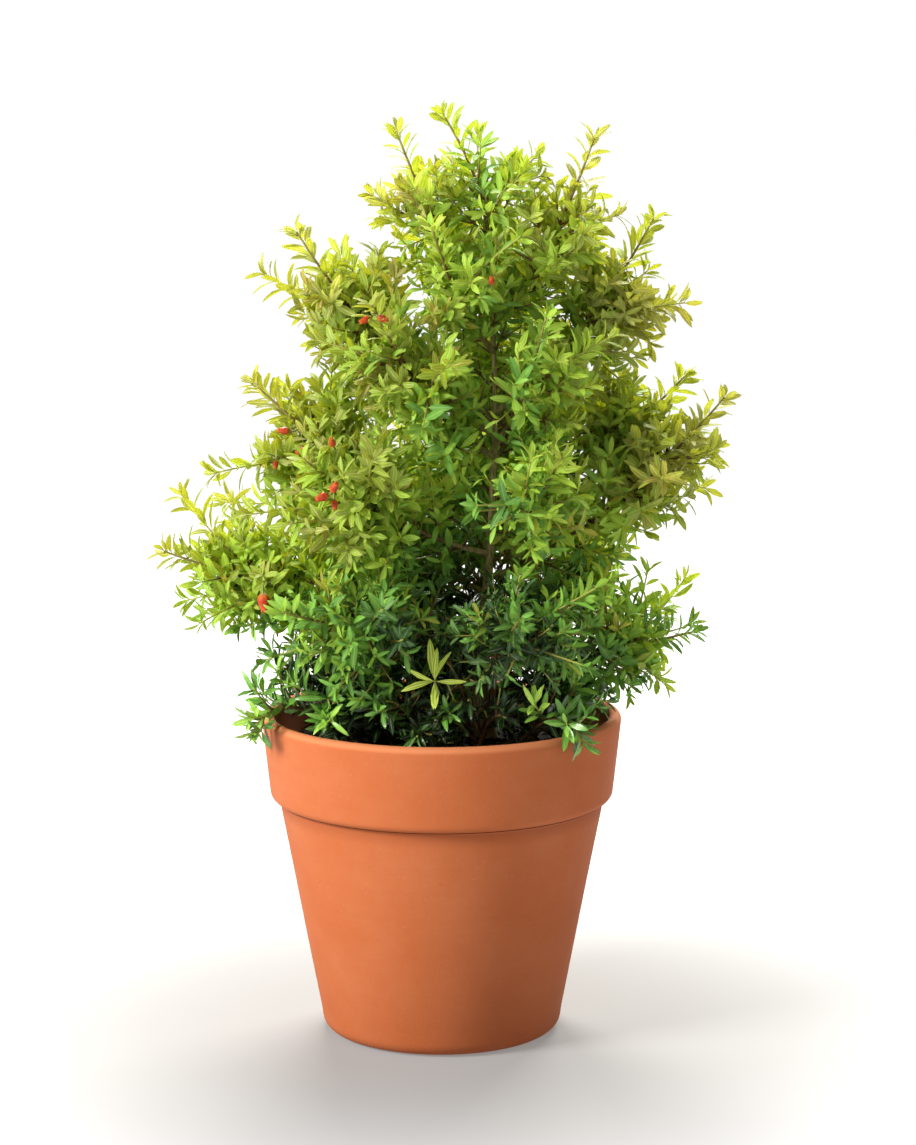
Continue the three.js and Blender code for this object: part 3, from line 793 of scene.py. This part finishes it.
class POT_OT_soil(bpy.types.Operator):
    """Makes the soil and the loose crumbs on it"""

    bl_idname = "potted_tree.soil"
    bl_label = "Soil"

    def execute(self, context):
        pot, soil = context.scene.tree_pot, context.scene.tree_soil
        axis, low = 0.0005, pot.floor + 0.0004
        wall_low = (inner_radius(pot, pot.floor) - 0.0015, low)
        wall_high = (inner_radius(pot, SOIL_TOP) - 0.0006, SOIL_TOP)
        below = [line((axis, low), wall_low, 6), line(wall_low, wall_high, 10)]
        top = [line(wall_high, (axis, SOIL_TOP), 90), [(axis, SOIL_TOP)]]
        points = turned(np.concatenate(below + top), 240)
        surface = points[sum(len(part) for part in below):]
        surface[..., 2] = soil_height(surface, soil)
        compost = finish_once(soil_finish, "compost", soil)
        tube_piece("soil_surface", [points[None]], 1, compost, "soil", "soil")
        crumbs = crumb_shapes(soil, wall_high[0])
        tube_piece("soil_crumbs", [crumbs], 1, compost, "soil", "soil")
        return {"FINISHED"}


# ---- wood ----
def stem_points(count):
    """Points of the stem at even heights: STEM_LINE joined by straight stretches, each point the
    mean of eleven from 25 mm below to 25 mm above it, which rounds the corners."""
    marks = np.array(STEM_LINE, float) * MM
    heights = np.linspace(marks[0, 2], marks[-1, 2], count)
    spread = heights[:, None] + np.linspace(-0.025, 0.025, 11)
    across = [np.interp(spread, marks[:, 2], marks[:, axis]).mean(1) for axis in (0, 1)]
    return np.stack([*across, heights], 1)


def stem_at(heights, count=200):
    """The stem's middle at a height or at each of several."""
    points = stem_points(count)
    return np.stack([np.interp(heights, points[:, 2], points[:, axis]) for axis in range(3)], -1)


def stem_radius(wood, heights):
    """The foot radius up to the soil, then the top radius plus what the foot is thicker times the
    power 2.9 of the share of the height that is left."""
    t = np.clip((heights - SOIL_TOP) / (STEM_LINE[-1][2] * MM - SOIL_TOP), 0, 1)
    return mix(wood.top_radius, wood.foot_radius, (1 - t) ** 2.9)


class POT_OT_stem(bpy.types.Operator):
    """Makes the woody stem with its bark and root flare"""

    bl_idname = "potted_tree.stem"
    bl_label = "Woody stem"

    def execute(self, context):
        wood, rows, sides = context.scene.tree_wood, 220, 40
        middle = stem_points(rows)[None]
        directions = unit(np.gradient(middle, axis=1))
        radii = stem_radius(wood, middle[..., 2])
        rings = tubes(middle, directions, middle[:, -1] - middle[:, 0], radii, sides)
        middle = np.broadcast_to(middle[:, :, None], rings.shape)
        out, height = unit(rings - middle), rings[..., 2]
        # Seven ridges run up the stem, knots swell where limbs leave it, and four roots flare at
        # the soil. Each is a share of the radius.
        ridge_swell, knot_swell, knot_height, flare_height = 0.07, 0.10, 0.003, 0.008
        turn = np.arctan2(out[..., 1], out[..., 0])
        ridges = np.sin(turn * 7 + waves(middle, 0.05, 5) * 3) * ridge_swell
        forks = (limb[0] * MM for limb in LIMBS.values() if limb[0])
        knots = sum(np.exp(-(((height - fork) / knot_height) ** 2)) * knot_swell for fork in forks)
        flare = np.exp(-np.clip(height - SOIL_TOP + 0.004, 0, 1) / flare_height)
        buttress = flare * (0.45 + 0.45 * np.sin(turn * 4 + 1))
        swell = ridges + knots + buttress + waves(rings, 0.014, 6, 3) * 0.04
        rings = rings + out * (radii[..., None] * swell)[..., None]
        green = np.clip((rings[..., 2] - 0.42) * 3.0, 0, 0.5)
        bark = finish_once(bark_finish, "living_bark", wood)
        tube_piece("woody_stem_bark", [rings], 1, bark, "bark", "woody_stem", green=green)
        return {"FINISHED"}


# ---- growth: lines are the starts, bends and ends of quadratic curves ----
def limb_lines(name):
    """A limb and its side shoots. A limb leaves the stem low and sweeps up to its tip, and a side
    shoot sets out along its limb and turns towards its own tip."""
    height, tip, side_shoots = LIMBS[name]
    end = np.array(tip, float) * MM
    if height is None:
        start = stem_at(STEM_LINE[-1][2] * MM)
        bend = np.array([start[0], start[1], (start[2] + end[2]) / 2])
    else:
        start = stem_at(height * MM)
        bend = mix(start, end, np.array([0.55, 0.55, 0.3]))
    lines = [(start, bend, end)]
    for at, *side_tip in side_shoots:
        fork, along = bend_line((start[None], bend[None], end[None]), np.array([[at]]))
        side_end = np.array(side_tip, float) * MM
        reach = np.linalg.norm(side_end - fork[0, 0])
        lines.append((fork[0, 0], fork[0, 0] + along[0, 0] * 0.4 * reach, side_end))
    return [np.array(part) for part in zip(*lines)]


def sprig_lines(name):
    """A clump of low shoots. The first runs from its foot by its bend to its tip. Each of the
    others is the first turned about its foot, made shorter, held inside the pot's mouth, and
    lifted more than the last."""
    *marks, shoots = SPRIGS[name]
    foot, bend, tip = (np.array(mark, float) * MM for mark in marks)
    start = np.array([*foot, SOIL_TOP - 0.002])
    turns = np.array([0.0, 0.65, -0.65, 1.4, -1.4, 2.3])[:shoots]
    sizes = np.array([1.0, 0.88, 0.92, 0.75, 0.8, 0.7])[:shoots, None]
    rises = np.array([0.0, 0.004, 0.012, 0.022, 0.036, 0.050])[:shoots]
    mouth, least_tip = 0.104, np.where(turns, 0.240, 0)
    spin = np.stack([np.cos(turns), -np.sin(turns), np.sin(turns), np.cos(turns)], 1)
    spin = spin.reshape(-1, 2, 2).transpose(0, 2, 1)
    bends, tips = (foot + (part[:2] - foot) @ spin * sizes for part in (bend, tip))
    tips[1:] *= np.minimum(1, mouth / np.linalg.norm(tips[1:], axis=1, keepdims=True))
    bends = np.column_stack([bends, np.maximum(bend[2], start[2] + 0.03) + rises])
    tips = np.column_stack([tips, np.maximum(tip[2], least_tip) + rises])
    return [np.tile(start, (shoots, 1)), bends, tips]


def room_for_pot(points, pot, off_wall=0.004, off_rim=0.006, droop=0.035):
    """True for points inside the pot's mouth and above its soil, above its rim, or outside the rim
    and no further below it than the droop, each with a little room left to the pot."""
    away, z = np.linalg.norm(points[..., :2], axis=-1), points[..., 2]
    inside = (away < inner_radius(pot, z) - off_wall) & (z > SOIL_TOP + 0.001)
    above = z > pot.height + 0.003
    beyond = (away > pot.rim_radius + off_rim) & (z > pot.height - droop)
    return inside | above | beyond


def pairs_along(lines, step, bare, rng, chance, most, clear=0.0, tuft=()):
    """Places in opposite pairs along each line, a step apart from the bare foot to the clear end,
    each pair a quarter turn from the last, and pairs at the tuft's distances from the tip. A place
    is there by chance. Gives each one's line, point, way along, way out and length left."""
    points, _ = bend_line(lines, evenly(lines, 17))
    lengths = np.linalg.norm(np.diff(points, axis=1), axis=-1).sum(1)[:, None]
    index = np.arange(most)
    fitting = np.maximum(1, np.round(lengths * (1 - bare) / step))
    shares = np.clip(bare + (1 - bare) * (index + 0.5) / fitting, 0, 1)
    last = 1 - np.array(tuft) / np.maximum(lengths, 0.012)
    there = np.concatenate([index < fitting, np.ones_like(last, bool)], 1)
    shares = np.concatenate([shares, last], 1)
    points, directions = bend_line(lines, shares)
    aside, over = cross_axes(directions, lines[2] - lines[0])
    turn = rng.uniform(0, math.pi, (len(lengths), 1))
    angle = (turn + np.arange(shares.shape[1]) % 2 * (math.pi / 2))[..., None]
    side = np.cos(angle) * aside + np.sin(angle) * over
    sides = np.stack([side, -side], axis=2)
    left = (1 - shares) * lengths
    there = (there & (left >= clear))[..., None] & (rng.uniform(size=sides.shape[:3]) < chance)
    row, column, _ = np.nonzero(there)
    return row, points[row, column], directions[row, column], sides[there], left[row, column]


def grow_twigs(lines, bare, step, longest, lushness, clear, pot, rng):
    """Twigs in crossed pairs along each line. A twig is as long as 0.62 of what is left of its
    line plus a little, up to the longest, times a random share. It sets out at about half a right
    angle to the line and bends up towards the light."""
    pairs = pairs_along(lines, step, bare, rng, chance=lushness, most=40, clear=clear)
    _, roots, along, out, left = pairs
    count = len(roots)
    half = np.minimum(longest, 0.010 + 0.62 * left) * rng.uniform(0.5, 1.1, count) * 0.5
    angle = rng.uniform(0.6, 1.15, count)[:, None]
    heading = unit(along * np.cos(angle) + out * np.sin(angle) + rng.normal(0, 0.12, out.shape))
    rise = heading + UP * rng.uniform(0.1, 0.6, count)[:, None]
    middles = roots + heading * half[:, None]
    tips = middles + unit(rise) * half[:, None]
    free = room_for_pot(tips, pot) & room_for_pot(middles, pot)
    return roots[free], middles[free], tips[free]


def leaf_points(leaves, share):
    """The point at a share of each leaf's length, its curl left out."""
    return leaves["base"] + leaves["direction"] * leaves["length"][:, None] * share


def grow_leaves(lines, step, leaf, pot, rng, habit):
    """Leaves in crossed pairs along each line, smaller near its tip, with a last tuft of two small
    pairs. Each leaf stands off its line by an angle and is rolled about its own length."""
    foot, tuft = habit.leaf_foot, (0.001, 0.004)
    pairs = pairs_along(lines, step, foot, rng, chance=0.95, most=60, tuft=tuft)
    row, bases, along, sides, left = pairs
    count = len(bases)
    out = unit(sides + rng.normal(0, 0.2, (count, 3)))
    own = rng.uniform(size=len(lines[0]))[row]
    near_tip = np.exp(-left / 0.008)
    angle = mix(rng.uniform(0.6, 1.0, count), rng.uniform(*habit.open, count), near_tip)[:, None]
    direction = unit(along * np.cos(angle) + out * np.sin(angle) + UP * 0.1)
    normal = unit(along - (along * direction).sum(-1, keepdims=True) * direction)
    roll = rng.normal(0, 0.75, count)[:, None]
    normal = np.cos(roll) * normal + np.sin(roll) * np.cross(direction, normal)
    sized = mix(1.0, 0.6, near_tip) * rng.uniform(0.78, 1.12, count)
    leaves = {
        "base": bases,
        "direction": direction,
        "normal": normal,
        "length": leaf.leaf_length * habit.long * sized,
        "width": leaf.leaf_width * habit.wide * sized * rng.uniform(0.85, 1.12, count),
        "curl": rng.normal(habit.curl, 0.12, count),
        "fold": rng.uniform(0.15, 0.5, count),
        "tint": mix(*habit.tints, 0.8 * own + 0.2 * rng.uniform(0, 1, count)),
        "young": near_tip,
    }
    free = room_for_pot(leaf_points(leaves, 1), pot) & room_for_pot(leaf_points(leaves, 0.5), pot)
    return {key: value[free] for key, value in leaves.items()}


def thinned(parts, points, rng, kept):
    """Keeps every part whose point isn't in a gap and that share of those that are. A gap is in
    front of something that shows between the leaves: the stem's fork, its foot, the rosette or a
    bud. It is a range of x, a range of height and a furthest y."""
    gaps = [np.array(gap) * MM for gap in GAPS]
    for index in range(len(BUD_MOUTHS)):
        low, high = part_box(f"flower_bud_{index + 1:02d}")
        gaps.append((low.x, high.x, low.z, high.z, low.y))
    keep = rng.uniform(size=len(points)) < kept
    x, y, z = points.T
    hides = np.zeros(len(points), bool)
    for left, right, low, high, back in gaps:
        hides |= (x > left) & (x < right) & (z > low) & (z < high) & (y < back)
    return [part[keep | ~hides] for part in parts]


def crown_light(leaves):
    """How bright each leaf is painted, which is mostly painted light and shade. It grows with the
    share of the crown's height, with the reach from the stem as a share of the crown's own, where
    reach to the front counts for less, near a shoot's tip, by steps above the lowest limbs, to both
    sides and on the right, and in waves."""
    low, high = SOIL_TOP + 0.06, CAD_BOX[1].z
    middle = leaf_points(leaves, 0.5)
    z = middle[:, 2]
    height = np.clip((z - low) / (high - low), 0, 1)
    reach = 0.05 + 0.19 * np.sin(math.pi * np.clip(0.25 + height * 0.72, 0, 1)) ** 0.8
    across, deep = (middle - stem_at(z, 60))[:, :2].T
    deep = deep * np.where(deep < 0, 0.36, 0.95)
    away = np.clip(np.hypot(across, deep) / reach, 0, 1)
    light = 0.42 * height**0.8 + 0.46 * away**1.4 * (0.55 + 0.45 * smooth(height / 0.3))
    light = light + 0.16 * leaves["young"] * (0.3 + height) + 0.22 * smooth((z - 0.30) / 0.07)
    light = light + 0.20 * smooth(np.abs(across) / 0.12) + 0.07 * smooth(across / 0.10) - 0.07
    return np.clip(light + waves(middle, 0.06, 31) * 0.12, 0, 1)


def sprig_light(leaves):
    """Low sprigs have painted shade deep in the pot's mouth and painted light towards the rim, and
    are lighter at their tips and by their tint.
    """
    away = np.linalg.norm(leaves["base"][:, :2], axis=1)
    light = 0.42 * smooth((away - 0.09) / 0.035) + 0.09 * leaves["young"]
    return np.clip(light + (leaves["tint"] - 0.5) * 0.2, 0, 1)


def rosette_light(leaves):
    """The rosette's leaves are all young, and all painted bright: painted light on leaves that lie
    in the crown's shade.
    """
    return np.full(len(leaves["tint"]), 0.95)


@dataclasses.dataclass
class Habit:
    """How one kind of shoot grows and looks."""

    foot: float  # radius of its main line at the foot
    light: object  # the function that gives each leaf's brightness
    finish: str  # the leaves' material
    skin: dict  # that material's own settings
    slot: str = "foliage"
    is_stem: bool = False  # the stem's own twigs have no line of wood to make
    bare: float = 0.1  # share of a line before its first twig
    leaf_foot: float = 0.1  # share of a line before its first leaf
    lush: float = 0.93  # chance of a twig at each place
    finer: float = 1.0  # share of that chance for a twig's own twiglets
    clear: float = 0.045  # length below a tip that has no twigs
    close: float = 1.0  # share of the usual step between twigs
    kept: float = 0.2  # share of the leaves and twigs kept in a gap
    long: float = 1.0  # share of the usual leaf length
    wide: float = 1.0  # share of the usual leaf width
    open: tuple = (0.35, 0.85)  # angles between leaf and line near a tip
    curl: float = 0.3  # how far a leaf's tip bends back on average, as a share of its length
    tints: tuple = (0.0, 1.0)  # range of the tint: low is a deep green, high is bright, then russet


def wood_group(lines, rows, sides, foot, tip, green):
    """Tapered tubes along lines: radius from foot to tip by the power 0.8 of the share along. With
    them, how green each point is."""
    t = evenly(lines, rows)
    points, directions = bend_line(lines, t)
    rings = tubes(points, directions, lines[2] - lines[0], mix(foot, tip, t**0.8), sides)
    return rings, np.repeat(mix(*green, t).ravel(), sides)


def grow(name, node, lines, context, seed, habit):
    """One limb, sprig or stem's side growth: its wood piece and its leaf piece."""
    scene, rng = context.scene, np.random.default_rng(seed)
    wood, leaf, pot = scene.tree_wood, scene.tree_leaf, scene.tree_pot
    step, longest = leaf.twig_step * habit.close, leaf.twig_length
    twigs = grow_twigs(lines, habit.bare, step, longest, habit.lush, habit.clear, pot, rng)
    twigs = thinned(twigs, twigs[1], rng, habit.kept)
    finer = habit.lush * habit.finer
    twiglets = grow_twigs(twigs, 0.15, step, longest * 0.55, finer, 0.024, pot, rng)
    # What bears leaves, and their step there as a share of the usual one.
    bearers = [(twigs, 1.0), (twiglets, 1.0)]
    if not habit.is_stem:
        bearers.append((lines, 0.62))
    grown = [
        grow_leaves(bearer, leaf.pair_step * closer, leaf, pot, rng, habit)
        for bearer, closer in bearers
        if len(bearer[0])
    ]
    leaves = {key: np.concatenate([part[key] for part in grown]) for key in grown[0]}
    kept = thinned(leaves.values(), leaf_points(leaves, 0.6), rng, habit.kept)
    leaves = dict(zip(leaves, kept))
    bright = leaves["bright"] = habit.light(leaves)
    leaves["length"] = leaves["length"] * mix(0.80, 1.06, bright)
    leaves["width"] = leaves["width"] * mix(0.74, 1.08, bright)
    shoot, twig, tip = wood.shoot_radius, wood.twig_radius, wood.tip_radius
    woods = []
    if not habit.is_stem:
        main, side = [part[:1] for part in lines], [part[1:] for part in lines]
        woods.append((main, 26, 9, habit.foot, shoot * 0.55, (0.15, 0.85)))
        woods.append((side, 18, 7, shoot, tip, (0.4, 1.0)))
    woods.append((twigs, 7, 5, twig, tip, (0.5, 1.0)))
    woods.append((twiglets, 5, 4, twig * 0.75, tip * 0.8, (0.6, 1.0)))
    groups, greens = zip(*(wood_group(*part) for part in woods if len(part[0][0])))
    bark = finish_once(bark_finish, "living_bark", wood)
    tube_piece(f"{name}_wood", groups, 4, bark, "bark", node, green=np.concatenate(greens))
    green = finish_once(leaf_finish, habit.finish, leaf, **habit.skin)
    shapes = blades(leaves, leaf.thickness)
    points_each = shapes[0, ..., 0].size
    numbers = {key: np.repeat(leaves[key], points_each) for key in ("bright", "tint")}
    piece = tube_piece(
        f"{name}_leaves", [shapes], 1.8, green, habit.slot, node, own_map="leaf", **numbers
    )
    piece.data.set_sharp_from_angle(angle=math.radians(75))


class POT_OT_limbs(bpy.types.Operator):
    """Grows the limbs with their shoots, twigs and leaves"""

    bl_idname = "potted_tree.limbs"
    bl_label = "Leafy limbs"

    def execute(self, context):
        wood, leaf = context.scene.tree_wood, context.scene.tree_leaf
        skin = dict(young_and_sunlit=leaf.young, glow=leaf.glow, gloss=0.42, shine=0.25, through=0.48)
        limb = Habit(wood.limb_radius, crown_light, "crown_leaf", skin)
        for seed, name in enumerate(LIMBS):
            foot = wood.top_radius if LIMBS[name][0] is None else limb.foot
            close = 0.75 if "back" in name else 1.0
            own = dataclasses.replace(limb, foot=foot, close=close)
            grow(name, name, limb_lines(name), context, seed, own)
        # Twigs straight off the stem between the lowest limb and its top.
        lines = [stem_at(0.255)[None], np.array([[0.043, 0.0025, 0.4]]), stem_at(0.547)[None]]
        own = dataclasses.replace(limb, is_stem=True, bare=0.0)
        grow("stem_side", "woody_stem", lines, context, 60, own)
        return {"FINISHED"}


class POT_OT_sprigs(bpy.types.Operator):
    """Grows the low sprigs that fill the pot's mouth"""

    bl_idname = "potted_tree.sprigs"
    bl_label = "Low sprigs"

    def execute(self, context):
        wood, leaf = context.scene.tree_wood, context.scene.tree_leaf
        skin = dict(young_and_sunlit=leaf.young, glow=leaf.low_glow, gloss=0.20, shine=0.5, through=0.15)
        sprig = Habit(
            wood.shoot_radius, sprig_light, "low_leaf", skin, slot="shade_foliage", bare=0.05,
            leaf_foot=0.0, lush=0.75, finer=0.0, clear=0.014, long=1.12, wide=0.98,
            tints=(0.0, 0.85),
        )
        # The rosette's top green, fresh, is paler than the young green: painted light on leaves in
        # the crown's shade.
        skin = dict(young_and_sunlit=leaf.fresh, glow=leaf.glow, gloss=0.35, shine=0.3, through=0.1)
        rosette = dataclasses.replace(
            sprig, light=rosette_light, finish="rosette_leaf", skin=skin, leaf_foot=0.8, lush=0.0,
            kept=1.0, long=1.3, wide=0.85, open=(0.9, 1.5), curl=0.4, tints=(0.4, 0.6),
        )
        for seed, name in enumerate(SPRIGS, 100):
            habit = rosette if name == "sprig_rosette" else sprig
            grow(name, name, sprig_lines(name), context, seed, habit)
        return {"FINISHED"}


# ---- buds ----
def bud_shape(middle, mouth, size):
    """A bud: a round vase, narrow at its foot, swollen below the middle and pinched under a crown
    of six pointed lobes, whose rings are pushed up and out by the cosine of six times the angle.
    With its rings, the share up the bud of each point."""
    rows, sides = 17, 30
    t = np.linspace(0, 1, rows)[:, None]
    angle = TURN * np.arange(sides) / sides
    vase = 0.10 + 0.52 * np.sin(math.pi * t**0.8) ** 0.8 * (1 - 0.35 * t)
    lip, crest = smooth((t - 0.72) / 0.28), np.cos(6 * angle)[None]
    radius = vase * (1 - 0.25 * lip) + 0.20 * lip * (1 + 0.25 * crest)
    radius = radius * (1 + 0.03 * np.cos(6 * angle + math.pi))
    height = mix(-1.0, 0.86, t) + 0.16 * lip * crest
    # The last ring closes the mouth, sunk a little.
    radius[-1], height[-1] = 0.02, 0.55
    points = np.stack([radius * np.cos(angle), radius * np.sin(angle), height], -1)
    aside = unit(np.cross(mouth, [0.3, 0.9, 0.2]))
    axes = np.stack([aside, np.cross(mouth, aside), mouth])
    return (points * size @ axes + middle)[None], np.repeat(t.ravel(), sides)


def bud_stalk(middle, mouth, size, long_stalk):
    """The stalk: from inside the bud's foot back along its axis, bending up."""
    start = middle - mouth * size * 0.8
    bend = start - mouth * long_stalk * 0.6
    end = bend - mouth * long_stalk * 0.3 + np.array([0, 0.25, 0.2]) * long_stalk
    return [np.array([p]) for p in (start, bend, end)]


class POT_OT_buds(bpy.types.Operator):
    """Makes the red flower buds on their stalks"""

    bl_idname = "potted_tree.buds"
    bl_label = "Flower buds"

    def execute(self, context):
        bud = context.scene.tree_bud
        wax = finish_once(bud_finish, "bud_wax", bud)
        for index, mouth in enumerate(BUD_MOUTHS, 1):
            name = f"flower_bud_{index:02d}"
            low, high = (np.array(corner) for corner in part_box(name))
            middle, size = (low + high) / 2, np.linalg.norm(high - low) * 0.37
            mouth = unit(np.array(mouth, float))
            vase, up = bud_shape(middle, mouth, size)
            line_parts = bud_stalk(middle, mouth, size, bud.stalk)
            stalk, stalk_up = wood_group(line_parts, 8, 8, 0.0009, 0.0006, (0.0, 0.0))
            up = np.concatenate([mix(0.12, 1.0, up), stalk_up])
            tube_piece(f"{name}_waxy", [vase, stalk], 1, wax, "flower_bud", name, up_bud=up)
        return {"FINISHED"}


# ---- stage ----
def area_light(name, where, aim, size, power, shade):
    """A square soft light at a place, turned towards a point of the pot's axis."""
    data = bpy.data.lights.new(name, "AREA")
    data.shape, data.size, data.energy, data.color = "SQUARE", size, power, shade
    light = add_object(name, data)
    light.location = where
    facing = Vector((0, 0, aim)) - Vector(where)
    light.rotation_euler = facing.to_track_quat("-Z", "Y").to_euler()


def white_world(scene):
    """A white studio: what the camera sees is white, and the light that it gives is softer."""
    scene.world = bpy.data.worlds.new("studio")
    paint = Paint(scene.world)
    seen, lighting = (
        paint.node("ShaderNodeBackground", {}, {"Color": shade, "Strength": strength})
        for shade, strength in (((1, 1, 1), 1.0), ((1.0, 0.94, 0.84), 0.16))
    )
    is_seen = paint.node("ShaderNodeLightPath", {}, {}, "Is Camera Ray")
    chosen = paint.node("ShaderNodeMixShader", {}, {0: is_seen, 1: lighting, 2: seen})
    paint.finish(chosen, "ShaderNodeOutputWorld")


class POT_OT_stage(bpy.types.Operator):
    """Sets up the pale floor, the soft studio light and the camera"""

    bl_idname = "potted_tree.stage"
    bl_label = "Stage"

    def execute(self, context):
        scene, stage, reach = context.scene, context.scene.tree_stage, 30.0
        scene.view_settings.view_transform = "Standard"
        white_world(scene)
        corners = np.array([[-1, -1, 0], [1, -1, 0], [1, 1, 0], [-1, 1, 0]]) * reach
        mesh = build_mesh("floor_sheet", corners, [np.array([[0, 1, 2, 3]])], {}, {})
        mesh.materials.append(finish_once(paper_finish, "pale_floor", stage))
        floor = add_object("pale_floor", mesh)
        floor.location.z = -0.0005
        for name, settings in LIGHTS.items():
            area_light(name, *settings)
        data = bpy.data.cameras.new("camera")
        data.sensor_width, data.lens = 36.0, stage.lens
        camera = add_object("camera", data)
        camera.location = (stage.camera_aside, -stage.camera_distance, stage.camera_height)
        camera.rotation_euler = (math.pi / 2 - stage.camera_tilt, 0, 0)
        scene.camera = camera
        return {"FINISHED"}


class POT_PT_panel(bpy.types.Panel):
    """Lists the steps that make the potted tree"""

    bl_idname = "POT_PT_panel"
    bl_label = "Potted Tree"
    bl_space_type = "VIEW_3D"
    bl_region_type = "UI"
    bl_category = "Potted Tree"

    def draw(self, context):
        for step in STEPS:
            self.layout.operator(step.bl_idname)
        for name, group in GROUPS.items():
            box = self.layout.box()
            box.label(text=group.__name__)
            for key in group.__annotations__:
                box.prop(getattr(context.scene, name), key)


STEPS = (
    POT_OT_stage, POT_OT_clay_pot, POT_OT_soil, POT_OT_stem,
    POT_OT_limbs, POT_OT_sprigs, POT_OT_buds,
)
CLASSES = (*GROUPS.values(), *STEPS, POT_PT_panel)


def register():
    """Adds the settings, the operators and the panel."""
    for cls in CLASSES:
        bpy.utils.register_class(cls)
    for name, group in GROUPS.items():
        setattr(bpy.types.Scene, name, bpy.props.PointerProperty(type=group))


def unregister():
    """Takes away all that register adds."""
    for name in GROUPS:
        delattr(bpy.types.Scene, name)
    for cls in reversed(CLASSES):
        bpy.utils.unregister_class(cls)


def write_sizes():
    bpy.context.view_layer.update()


def main():
    """Registers the add-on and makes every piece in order."""
    register()
    for step in STEPS:
        group, name = step.bl_idname.split(".")
        getattr(getattr(bpy.ops, group), name)()
    write_sizes()


if __name__ == "__main__":
    main()
